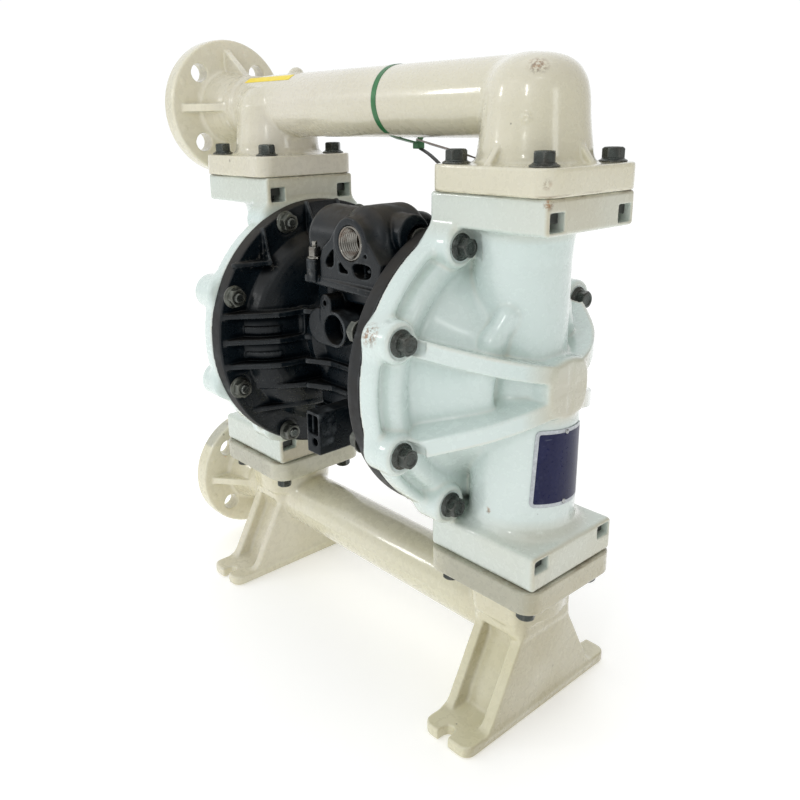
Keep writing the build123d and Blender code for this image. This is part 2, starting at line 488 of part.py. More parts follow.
def flange_bolt(x, y, z_seat, z_tip, up):
    """Flanged hex bolt along Z; up says that the head is above the seat."""
    s = 1 if up else -1
    b = zcyl(x, y, min(z_seat, z_tip), max(z_seat, z_tip), M8_R)
    b += zcyl(x, y, min(z_seat, z_seat + s * 1.6), max(z_seat, z_seat + s * 1.6), M8_FL)
    b += zcyl(x, y, min(z_seat + s * 1.6, z_seat + s * 2.8), max(z_seat + s * 1.6, z_seat + s * 2.8), 7.2)
    b += hexz(x, y, min(z_seat + s * 2.6, z_seat + s * 9.0), max(z_seat + s * 2.6, z_seat + s * 9.0), M8_AF, turn=12 + x)
    return b


def square_nut(x, y, z0, z1):
    return box(x - 6.5, x + 6.5, y - 6.5, y + 6.5, z0, z1) - zcyl(x, y, z0 - 1, z1 + 1, M8_R)


top_bolts, bottom_bolts, top_nuts, bottom_nuts = [], [], [], []
for sx in (-1, 1):
    for bx in (-BX, BX):
        for by in (-BX, BX):
            x = sx * XC + bx
            top_bolts.append(flange_bolt(x, by, Z_UM1, 355.6, True))
            bottom_bolts.append(flange_bolt(x, by, Z_LM0, 144.2, False))
            top_nuts.append(square_nut(x, by, 359.9, 366.4))
            bottom_nuts.append(square_nut(x, by, 136.4, 142.9))

# ---------------------------------------------------------------- label plate, tie and tag
LAB_A = -5.2                           # the plate's middle, degrees round the column
plate = zcyl(XC, 0, 169.6, 225.6, 37.3) - zcyl(XC, 0, 168.0, 227.0, 36.62)
plate = plate & (Pos(XC, 0, 0) * Rot(0, 0, LAB_A) * box(10, 50, -22.3, 22.3, 169.6, 225.6))
# cable tie, loose below the tube
loop = [(19.6, 402.4), (23.2, 407.6), (25.0, 414.0), (25.8, 421.0)]
loop += [(26.0 * math.cos(math.radians(d)), Z_OUT + 26.0 * math.sin(math.radians(d))) for d in range(-12, 220, 8)]
loop += [(-15.8, 410.6), (-4.0, 405.6), (8.0, 403.0), (16.0, 401.4)]
ring = []
for i, (y, z) in enumerate(loop):
    ya, za = loop[i - 1]
    yb, zb = loop[(i + 1) % len(loop)]
    n = math.hypot(yb - ya, zb - za)
    ring.append((y + 1.2 * (zb - za) / n, z - 1.2 * (yb - ya) / n))
cable_tie = prism_x(ring, 15.0, 19.0) - prism_x(loop, 14.0, 20.0)
cable_tie += box(13.7, 20.3, 16.0, 22.4, 397.9, 403.3)
tag = Pos(70.0, -6.0, 399.6) * Rot(0, 11, 0) * Rot(-16, 0, 0) * Box(46.0, 15.0, 0.9)

# ---------------------------------------------------------------- write
save("inlet_manifold", inlet_manifold)
save("outlet_manifold", outlet_manifold)
save("fluid_cover_near", fluid_near)
save("fluid_cover_far", fluid_far)
save("air_cover_near", air_near)
save("air_cover_far", air_far)
save("center_housing", housing)
save("air_inlet_insert", insert)
save("valve_end_cap", cap_end)
save("valve_sleeve", sleeve)
save("valve_spool", spool)
save("ground_screw", ground_screw)
save("ground_nut", ground_nut)
save("shaft_bushes", group(bushes))
save("shaft_seals", group(seals))
save("centre_screws", group(centre_screws))
save("shaft", shaft)
ap, fp, sb, dia = air_plate(), fluid_plate(), shaft_bolt(), diaphragm()
save("air_plate_near", ap)
save("air_plate_far", mir(ap))
save("fluid_plate_near", fp)
save("fluid_plate_far", mir(fp))
save("shaft_bolts", group([sb, mir(sb)]))
save("diaphragm_near", dia)
save("diaphragm_far", mir(dia))
pin = xcyl(40.5, 76.4, 0, ZC + 26.0, 3.0)
save("pilot_pin_near", pin)
save("pilot_pin_far", mir(pin))
si, so = seat(Z_SEAT_IN), seat(Z_SEAT_OUT)
save("inlet_seat_near", si)
save("inlet_seat_far", mir(si))
save("outlet_seat_near", so)
save("outlet_seat_far", mir(so))
oi, oo = o_ring(Z_SEAT_IN), o_ring(Z_SEAT_OUT)
save("seat_o_rings", group([oi, mir(oi), oo, mir(oo)]))
save("inlet_ball_near", ball_in)
save("inlet_ball_far", mir(ball_in))
save("outlet_ball_near", ball_out)
save("outlet_ball_far", mir(ball_out))
cb = [cover_bolt(a) for a in ANG]
cn = [cover_nut(a) for a in ANG]
save("cover_bolts_near", group(cb))
save("cover_bolts_far", group([mir(b) for b in cb]))
save("cover_nuts_near", group(cn))
save("cover_nuts_far", group([mir(n) for n in cn]))
save("outlet_manifold_bolts", group(top_bolts))
save("inlet_manifold_bolts", group(bottom_bolts))
save("outlet_square_nuts", group(top_nuts))
save("inlet_square_nuts", group(bottom_nuts))
save("label_plate", plate)
save("cable_tie", cable_tie)
save("hang_tag", tag)
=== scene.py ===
import bpy
import math
import numpy as np
from mathutils import Matrix

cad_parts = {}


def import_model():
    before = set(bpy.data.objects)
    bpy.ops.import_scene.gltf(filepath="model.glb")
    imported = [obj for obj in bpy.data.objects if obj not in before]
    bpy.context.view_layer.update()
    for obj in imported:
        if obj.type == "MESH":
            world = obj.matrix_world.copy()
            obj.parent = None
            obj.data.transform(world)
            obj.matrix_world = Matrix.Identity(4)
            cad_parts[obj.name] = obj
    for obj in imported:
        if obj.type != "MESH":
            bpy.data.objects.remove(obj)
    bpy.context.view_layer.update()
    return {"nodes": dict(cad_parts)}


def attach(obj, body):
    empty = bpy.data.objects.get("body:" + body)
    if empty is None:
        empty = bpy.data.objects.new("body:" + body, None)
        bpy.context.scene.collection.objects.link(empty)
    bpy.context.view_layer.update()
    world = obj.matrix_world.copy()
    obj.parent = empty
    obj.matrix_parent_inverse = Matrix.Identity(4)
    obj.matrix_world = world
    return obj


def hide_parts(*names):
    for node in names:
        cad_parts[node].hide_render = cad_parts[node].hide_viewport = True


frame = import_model()
NODES = frame["nodes"]

# ------------------------------------------------------------------ camera
YAW, PITCH, ROLL = math.radians(48.55), math.radians(-16.63), math.radians(-0.84)
CAM = np.array([0.46657, -0.41495, 0.41906])
fwd = np.array([-math.sin(YAW) * math.cos(PITCH), math.cos(YAW) * math.cos(PITCH), math.sin(PITCH)])
rgt = np.cross(fwd, [0, 0, 1.0]); rgt /= np.linalg.norm(rgt)
upv = np.cross(rgt, fwd)
r2 = math.cos(ROLL) * rgt + math.sin(ROLL) * upv
u2 = -math.sin(ROLL) * rgt + math.cos(ROLL) * upv
cam_data = bpy.data.cameras.new("camera")
cam_data.sensor_width = 36.0
cam_data.lens = 804.76 / 800.0 * 36.0
cam_data.shift_x = 0.0191
cam_data.shift_y = -0.0498
cam_data.clip_start = 0.01
camera = bpy.data.objects.new("camera", cam_data)
m = Matrix.Identity(4)
for i in range(3):
    m[i][0], m[i][1], m[i][2], m[i][3] = r2[i], u2[i], -fwd[i], CAM[i]
camera.matrix_world = m
bpy.context.scene.collection.objects.link(camera)
bpy.context.scene.camera = camera

# ------------------------------------------------------------------ dimensions (mm)
XC, BX, ZC, RB, RD = 141.0, 34.4, 249.5, 98.9, 106.5
X_DISC, X_JOIN, X_SEAT = 79.0, 91.8, 115.4
Z_LM0, Z_LM1, Z_CF0, Z_CF1, Z_UM0, Z_UM1 = 105.5, 122.9, 147.7, 353.0, 375.2, 392.1
HM = 47.8
Z_IN, R_IN, Z_OUT, R_OUT, R_NECK, R_BORE = 68.9, 24.5, 431.8, 25.2, 34.0, 16.0
X_FL0, X_FL1, R_FL = -229.7, -214.0, 59.4
ANG = [22.3, 67.1, 112.9, 157.7, 202.3, 242.1, 297.9, 337.7]


# ------------------------------------------------------------------ distance fields
def smin(a, b, k):
    if k <= 0:
        return np.minimum(a, b)
    q = np.maximum(k - np.abs(a - b), 0.0) / k
    return np.minimum(a, b) - q * q * (k * 0.25)


def smax(a, b, k):
    return -smin(-a, -b, k)


def comb(a, b):
    return np.minimum(np.maximum(a, b), 0.0) + np.sqrt(np.maximum(a, 0.0) ** 2 + np.maximum(b, 0.0) ** 2)


def poly_sdf(px, py, pts):
    """Signed distance to a closed polygon, negative inside."""
    px, py = np.broadcast_arrays(px, py)
    d = np.full(px.shape, 1e12)
    s = np.ones(px.shape)
    n = len(pts)
    for i in range(n):
        ax, ay = pts[i]
        bx, by = pts[(i + 1) % n]
        ex, ey = bx - ax, by - ay
        wx, wy = px - ax, py - ay
        L = ex * ex + ey * ey
        if L < 1e-12:
            continue
        t = np.clip((wx * ex + wy * ey) / L, 0, 1)
        qx, qy = wx - ex * t, wy - ey * t
        d = np.minimum(d, qx * qx + qy * qy)
        c1 = py >= ay
        c2 = py < by
        c3 = ex * wy > ey * wx
        flip = (c1 & c2 & c3) | (~c1 & ~c2 & ~c3)
        s = np.where(flip, -s, s)
    return s * np.sqrt(d)


def chaikin(pts, n=2, closed=False):
    """Corner cutting, keeps the ends of an open chain."""
    p = [tuple(q) for q in pts]
    for _ in range(n):
        q = []
        m_ = len(p)
        rng = range(m_) if closed else range(m_ - 1)
        if not closed:
            q.append(p[0])
        for i in rng:
            a, b = p[i], p[(i + 1) % m_]
            q.append(tuple(0.75 * g + 0.25 * w for g, w in zip(a, b)))
            q.append(tuple(0.25 * g + 0.75 * w for g, w in zip(a, b)))
        if not closed:
            q.append(p[-1])
        p = q
    return p


def rrect(cx, cy, hx, hy, r, n=6):
    pts = []
    for (sx, sy, a0) in ((1, 1, 0), (-1, 1, 90), (-1, -1, 180), (1, -1, 270)):
        for i in range(n + 1):
            a = math.radians(a0 + 90.0 * i / n)
            pts.append((cx + sx * (hx - r) + r * math.cos(a), cy + sy * (hy - r) + r * math.sin(a)))
    return pts


class Field:
    def __init__(self, lo, hi, h, half=False):
        self.h = h
        self.half = half
        self.ax = []
        for i in range(3):
            a0, a1 = math.floor(lo[i] / h) - 2, math.ceil(hi[i] / h) + 2
            if half and i == 1:
                a0 = 0
            self.ax.append(np.arange(a0, a1 + 1) * h)
        self.F = np.full([len(a) for a in self.ax], 40.0, np.float32)

    def _blk(self, bb, m_):
        sl = []
        for i in range(3):
            a = self.ax[i]
            i0 = int(np.searchsorted(a, bb[2 * i] - m_))
            i1 = int(np.searchsorted(a, bb[2 * i + 1] + m_))
            if i1 <= i0:
                return None, None
            sl.append(slice(i0, i1))
        g = (self.ax[0][sl[0]][:, None, None], self.ax[1][sl[1]][None, :, None], self.ax[2][sl[2]][None, None, :])
        return tuple(sl), g

    def add(self, prim, k=0.0):
        fn, bb = prim
        sl, g = self._blk(bb, k + 3.2 * self.h)
        if sl is None:
            return
        self.F[sl] = smin(self.F[sl], fn(*g), k)

    def cut(self, prim, k=0.0):
        fn, bb = prim
        sl, g = self._blk(bb, k + 3.2 * self.h)
        if sl is None:
            return
        self.F[sl] = smax(self.F[sl], -fn(*g), k)

    def keep(self, prim, k=0.0):
        """Intersection inside the primitive's box only."""
        fn, bb = prim
        sl, g = self._blk(bb, 0.0)
        if sl is None:
            return
        self.F[sl] = smax(self.F[sl], fn(*g), k)

    def full(self):
        if self.half:
            F = np.concatenate([self.F[:, :0:-1, :], self.F], axis=1)
            y = np.concatenate([-self.ax[1][:0:-1], self.ax[1]])
            return F, (self.ax[0], y, self.ax[2])
        return self.F, tuple(self.ax)


def rbox(x0, x1, y0, y1, z0, z1, r=0.0):
    c = ((x0 + x1) / 2, (y0 + y1) / 2, (z0 + z1) / 2)
    hh = ((x1 - x0) / 2 - r, (y1 - y0) / 2 - r, (z1 - z0) / 2 - r)

    def fn(X, Y, Z):
        a, b, d = np.abs(X - c[0]) - hh[0], np.abs(Y - c[1]) - hh[1], np.abs(Z - c[2]) - hh[2]
        return np.sqrt(np.maximum(a, 0) ** 2 + np.maximum(b, 0) ** 2 + np.maximum(d, 0) ** 2) + np.minimum(np.maximum(a, np.maximum(b, d)), 0) - r
    return fn, (x0, x1, y0, y1, z0, z1)


def cyl(axis, c1, c2, a0, a1, R, r=0.0, R2=None):
    """Cylinder along axis; c1, c2 are the other two coordinates in x, y, z order. R2 is the radius at a1."""
    lo, hi = min(a0, a1), max(a0, a1)
    RM = max(R, R2 if R2 is not None else R)

    def fn(X, Y, Z):
        a, p, q = {"x": (X, Y, Z), "y": (Y, X, Z), "z": (Z, X, Y)}[axis]
        rho = np.sqrt((p - c1) ** 2 + (q - c2) ** 2)
        if R2 is None:
            rr = rho - R
        else:
            rr = (rho - (R + (R2 - R) * np.clip((a - a0) / (a1 - a0), 0, 1))) / math.hypot(1, (R2 - R) / (a1 - a0))
        return comb(rr + r, np.abs(a - (lo + hi) / 2) - (hi - lo) / 2 + r) - r
    bb = {"x": (lo, hi, c1 - RM, c1 + RM, c2 - RM, c2 + RM), "y": (c1 - RM, c1 + RM, lo, hi, c2 - RM, c2 + RM),
          "z": (c1 - RM, c1 + RM, c2 - RM, c2 + RM, lo, hi)}[axis]
    return fn, bb


def sph(x, y, z, r):
    def fn(X, Y, Z):
        return np.sqrt((X - x) ** 2 + (Y - y) ** 2 + (Z - z) ** 2) - r
    return fn, (x - r, x + r, y - r, y + r, z - r, z + r)


def ell(x, y, z, rx, ry, rz):
    def fn(X, Y, Z):
        k0 = np.sqrt(((X - x) / rx) ** 2 + ((Y - y) / ry) ** 2 + ((Z - z) / rz) ** 2)
        k1 = np.sqrt(((X - x) / rx ** 2) ** 2 + ((Y - y) / ry ** 2) ** 2 + ((Z - z) / rz ** 2) ** 2) + 1e-9
        return k0 * (k0 - 1.0) / k1
    return fn, (x - rx, x + rx, y - ry, y + ry, z - rz, z + rz)


def capsule(p, q, r, r_end=None):
    p, q = np.array(p, float), np.array(q, float)
    r_end = r if r_end is None else r_end
    rm = max(r, r_end)

    def fn(X, Y, Z):
        e = q - p
        L = float(e @ e)
        t = np.clip(((X - p[0]) * e[0] + (Y - p[1]) * e[1] + (Z - p[2]) * e[2]) / L, 0, 1)
        return np.sqrt((X - p[0] - e[0] * t) ** 2 + (Y - p[1] - e[1] * t) ** 2 + (Z - p[2] - e[2] * t) ** 2) - (r + (r_end - r) * t)
    lo, hi = np.minimum(p, q) - rm, np.maximum(p, q) + rm
    return fn, (lo[0], hi[0], lo[1], hi[1], lo[2], hi[2])


def rev_x(pts, z0, y0=0.0):
    pts = [(a, -40.0 if b <= 0 else b) for a, b in pts]
    xs_ = [p[0] for p in pts]
    RM = max(p[1] for p in pts)

    def fn(X, Y, Z):
        rad = np.sqrt((Y - y0) ** 2 + (Z - z0) ** 2)[0]
        st = 0.25
        rs = np.arange(0, rad.max() + 1.0, st)
        T = poly_sdf(X[:, 0, 0][:, None], rs[None, :], pts).astype(np.float32)
        q = rad / st
        i = q.astype(np.int32)
        f = (q - i).astype(np.float32)
        return T[:, i] * (1 - f) + T[:, i + 1] * f
    return fn, (min(xs_), max(xs_), y0 - RM, y0 + RM, z0 - RM, z0 + RM)


def rev_z(pts, x0, y0=0.0):
    """pts are (radius, z)."""
    pts = [(-40.0 if a <= 0 else a, b) for a, b in pts]
    zs_ = [p[1] for p in pts]
    RM = max(p[0] for p in pts)

    def fn(X, Y, Z):
        rad = np.sqrt((X - x0) ** 2 + (Y - y0) ** 2)[:, :, 0]
        st = 0.25
        rs = np.arange(0, rad.max() + 1.0, st)
        T = poly_sdf(rs[:, None], Z[0, 0, :][None, :], pts).astype(np.float32)
        q = rad / st
        i = q.astype(np.int32)
        f = (q - i).astype(np.float32)[..., None]
        return T[i] * (1 - f) + T[i + 1] * f
    return fn, (x0 - RM, x0 + RM, y0 - RM, y0 + RM, min(zs_), max(zs_))


def ext(axis, pts, a0, a1, r=0.0):
    """Polygon in the other two coordinates (x, y, z order) extruded from a0 to a1 with rounded edges."""
    u0, u1 = min(p[0] for p in pts), max(p[0] for p in pts)
    v0, v1 = min(p[1] for p in pts), max(p[1] for p in pts)

    def fn(X, Y, Z):
        if X.shape == Y.shape:
            u, v, a = {"x": (Y, Z, X), "y": (X, Z, Y), "z": (X, Y, Z)}[axis]
            d2 = poly_sdf(u, v, pts)
        elif axis == "x":
            d2, a = poly_sdf(Y[0], Z[0], pts)[None], X
        elif axis == "y":
            d2, a = poly_sdf(X[:, 0, :], Z[0], pts)[:, None, :], Y
        else:
            d2, a = poly_sdf(X[:, :, 0], Y[:, :, 0], pts)[:, :, None], Z
        return comb(d2 + r, np.abs(a - (a0 + a1) / 2) - (a1 - a0) / 2 + r) - r
    bb = {"x": (a0, a1, u0, u1, v0, v1), "y": (u0, u1, a0, a1, v0, v1), "z": (u0, u1, v0, v1, a0, a1)}[axis]
    return fn, bb


def rotated(prim, axis, deg, about):
    """The primitive turned about a point; its box is given by the corners."""
    fn, bb = prim
    c, s = math.cos(math.radians(deg)), math.sin(math.radians(deg))
    ax = "xyz".index(axis)
    i, j = [(1, 2), (2, 0), (0, 1)][ax]

    def inv(P):
        a, b = P[i] - about[i], P[j] - about[j]
        Q = list(P)
        Q[i] = a * c + b * s + about[i]
        Q[j] = -a * s + b * c + about[j]
        return Q

    def f2(X, Y, Z):
        X, Y, Z = np.broadcast_arrays(X, Y, Z)
        return fn(*inv([X, Y, Z]))
    cs = []
    for x in bb[0:2]:
        for y in bb[2:4]:
            for z in bb[4:6]:
                P = [x, y, z]
                a, b = P[i] - about[i], P[j] - about[j]
                P[i] = a * c - b * s + about[i]
                P[j] = a * s + b * c + about[j]
                cs.append(P)
    cs = np.array(cs)
    lo, hi = cs.min(0), cs.max(0)
    return f2, (lo[0], hi[0], lo[1], hi[1], lo[2], hi[2])


# ------------------------------------------------------------------ surface nets
CORN = [(0, 0, 0), (1, 0, 0), (0, 1, 0), (1, 1, 0), (0, 0, 1), (1, 0, 1), (0, 1, 1), (1, 1, 1)]
EDGE = [(0, 1), (2, 3), (4, 5), (6, 7), (0, 2), (1, 3), (4, 6), (5, 7), (0, 4), (1, 5), (2, 6), (3, 7)]


def sample(F, org, h, P):
    q = (P - org) / h
    for i in range(3):
        q[:, i] = np.clip(q[:, i], 0, F.shape[i] - 1.001)
    b = q.astype(np.int32)
    f = (q - b).astype(np.float32)
    ny, nz = F.shape[1], F.shape[2]
    base = (b[:, 0] * ny + b[:, 1]) * nz + b[:, 2]
    R = F.ravel()
    x, y, z = f[:, 0], f[:, 1], f[:, 2]
    c00 = R[base] * (1 - z) + R[base + 1] * z
    c01 = R[base + nz] * (1 - z) + R[base + nz + 1] * z
    base = base + ny * nz
    c10 = R[base] * (1 - z) + R[base + 1] * z
    c11 = R[base + nz] * (1 - z) + R[base + nz + 1] * z
    return (c00 * (1 - y) + c01 * y) * (1 - x) + (c10 * (1 - y) + c11 * y) * x


def grad(F, org, h, P, e=0.6):
    G = np.zeros_like(P)
    for i in range(3):
        d = np.zeros(3)
        d[i] = e * h
        G[:, i] = (sample(F, org, h, P + d) - sample(F, org, h, P - d)) / (2 * e * h)
    return G


def nets(F, axes, h):
    org = np.array([a[0] for a in axes])
    S = F < 0
    c = np.zeros([n - 1 for n in F.shape], np.uint8)
    nx, ny, nz = F.shape
    for (i, j, k) in CORN:
        c += S[i:nx - 1 + i, j:ny - 1 + j, k:nz - 1 + k]
    act = (c > 0) & (c < 8)
    ids = np.flatnonzero(act)
    idx = np.full(act.size, -1, np.int32)
    idx[ids] = np.arange(len(ids))
    idx = idx.reshape(act.shape)
    ci, cj, ck = np.unravel_index(ids, act.shape)
    vals = [F[ci + a, cj + b, ck + d] for (a, b, d) in CORN]
    acc = np.zeros((len(ids), 3))
    cnt = np.zeros(len(ids))
    for a, b in EDGE:
        va, vb = vals[a], vals[b]
        m_ = (va < 0) != (vb < 0)
        t = np.where(m_, va / np.where(m_, va - vb, 1), 0)
        pa, pb = np.array(CORN[a]), np.array(CORN[b])
        for i in range(3):
            acc[:, i] += np.where(m_, pa[i] + t * (pb[i] - pa[i]), 0)
        cnt += m_
    P = (np.stack([ci, cj, ck], 1) + acc / cnt[:, None]) * h + org
    quads = []
    # edges along x
    m_ = S[:-1, 1:-1, 1:-1] != S[1:, 1:-1, 1:-1]
    i, j, k = np.nonzero(m_)
    j, k = j + 1, k + 1
    q = np.stack([idx[i, j - 1, k - 1], idx[i, j, k - 1], idx[i, j, k], idx[i, j - 1, k]], 1)
    fl = S[i, j, k]
    q[~fl] = q[~fl][:, ::-1]
    quads.append(q)
    m_ = S[1:-1, :-1, 1:-1] != S[1:-1, 1:, 1:-1]
    i, j, k = np.nonzero(m_)
    i, k = i + 1, k + 1
    q = np.stack([idx[i - 1, j, k - 1], idx[i - 1, j, k], idx[i, j, k], idx[i, j, k - 1]], 1)
    fl = S[i, j, k]
    q[~fl] = q[~fl][:, ::-1]
    quads.append(q)
    m_ = S[1:-1, 1:-1, :-1] != S[1:-1, 1:-1, 1:]
    i, j, k = np.nonzero(m_)
    i, j = i + 1, j + 1
    q = np.stack([idx[i - 1, j - 1, k], idx[i, j - 1, k], idx[i, j, k], idx[i - 1, j, k]], 1)
    fl = S[i, j, k]
    q[~fl] = q[~fl][:, ::-1]
    quads.append(q)
    return P, np.concatenate(quads), org


def settle(F, org, h, P, n=3):
    for _ in range(n):
        G = grad(F, org, h, P)
        g2 = (G ** 2).sum(1) + 1e-6
        v = sample(F, org, h, P)
        step = -(v / g2)[:, None] * G
        L = np.sqrt((step ** 2).sum(1))
        step *= (np.minimum(L, 0.5 * h) / (L + 1e-9))[:, None]
        P = P + step
    return P


def new_mesh(name, P, Q):
    """P in metres, Q an (n, 3 or 4) array or a list of faces."""
    me = bpy.data.meshes.new(name)
    if isinstance(Q, np.ndarray):
        n, w = Q.shape
        me.vertices.add(len(P))
        me.vertices.foreach_set("co", np.asarray(P, np.float32).ravel())
        me.loops.add(n * w)
        me.loops.foreach_set("vertex_index", Q.astype(np.int32).ravel())
        me.polygons.add(n)
        me.polygons.foreach_set("loop_start", np.arange(0, n * w, w, dtype=np.int32))
        me.polygons.foreach_set("use_smooth", np.ones(n, bool))
        me.update(calc_edges=True)
    else:
        me.from_pydata([tuple(p) for p in P], [], Q)
        me.polygons.foreach_set("use_smooth", np.ones(len(me.polygons), bool))
        me.update()
    me.validate()
    return me


def obj(name, me):
    o = bpy.data.objects.new(name, me)
    bpy.context.scene.collection.objects.link(o)
    return o


def get_co(me):
    co = np.zeros(len(me.vertices) * 3, np.float32)
    me.vertices.foreach_get("co", co)
    return co.reshape(-1, 3).astype(float)


def add_attr(me, name, vals):
    a = me.attributes.new(name, "FLOAT", "POINT")
    a.data.foreach_set("value", np.asarray(vals, np.float32))


def build(name, field, hide=None, ratio=0.35, mirror=False, cav_d=7.0, edge_d=2.2):
    """Meshes the field; hide(P) marks points that no view reaches, which get a coarser mesh."""
    F, axes = field.full()
    F = np.ascontiguousarray(F)
    h = field.h
    P, Q, org = nets(F, axes, h)
    P = settle(F, org, h, P)
    me = new_mesh(name, P * 0.001, Q)
    o = obj(name, me)
    if hide is not None:
        w = hide(P).astype(float)
        n_h = int((w > 0.5).sum())
        if n_h > 1000:
            vg = o.vertex_groups.new(name="hidden")
            vg.add([int(i) for i in np.flatnonzero(w > 0.5)], 1.0, "REPLACE")
            md = o.modifiers.new("coarse", "DECIMATE")
            md.ratio = max(0.05, 1.0 - (1.0 - ratio) * n_h / len(P))
            md.vertex_group = "hidden"
            md.vertex_group_factor = 10.0
            dg = bpy.context.evaluated_depsgraph_get()
            me2 = bpy.data.meshes.new_from_object(o.evaluated_get(dg))
            o.modifiers.clear()
            o.vertex_groups.clear()
            o.data = me2
            bpy.data.meshes.remove(me)
            me = me2
            me.name = name
            P = settle(F, org, h, get_co(me) * 1000.0, 1)
            me.vertices.foreach_set("co", (P * 0.001).astype(np.float32).ravel())
            me.polygons.foreach_set("use_smooth", np.ones(len(me.polygons), bool))
    G = grad(F, org, h, P, 0.45)
    N = G / (np.sqrt((G ** 2).sum(1)) + 1e-9)[:, None]
    # cav measures how enclosed each point is; the materials use it to paint shade and light into recesses and to place
    # grime
    cav = 1.0 - np.clip(sample(F, org, h, P + N * cav_d) / cav_d, 0, 1)
    edge = 1.0 - np.clip(-sample(F, org, h, P - N * edge_d) / edge_d, 0, 1)
    if mirror:
        P = P * [-1, 1, 1]
        N = N * [-1, 1, 1]
        me.vertices.foreach_set("co", (P * 0.001).astype(np.float32).ravel())
        me.flip_normals()
    add_attr(me, "cav", cav)
    add_attr(me, "edge", edge)
    me.update()
    me.normals_split_custom_set_from_vertices(N.astype(np.float32))
    print("built", name, len(me.vertices), "vertices", len(me.polygons), "faces")
    return o


def mirrored_copy(src, name):
    me = src.data.copy()
    me.name = name
    co = get_co(me) * [-1, 1, 1]
    n = np.zeros(len(me.vertices) * 3, np.float32)
    me.vertex_normals.foreach_get("vector", n)
    me.vertices.foreach_set("co", co.astype(np.float32).ravel())
    me.flip_normals()
    me.update()
    n = n.reshape(-1, 3) * [-1, 1, 1]
    me.normals_split_custom_set_from_vertices(n.astype(np.float32))
    return obj(name, me)


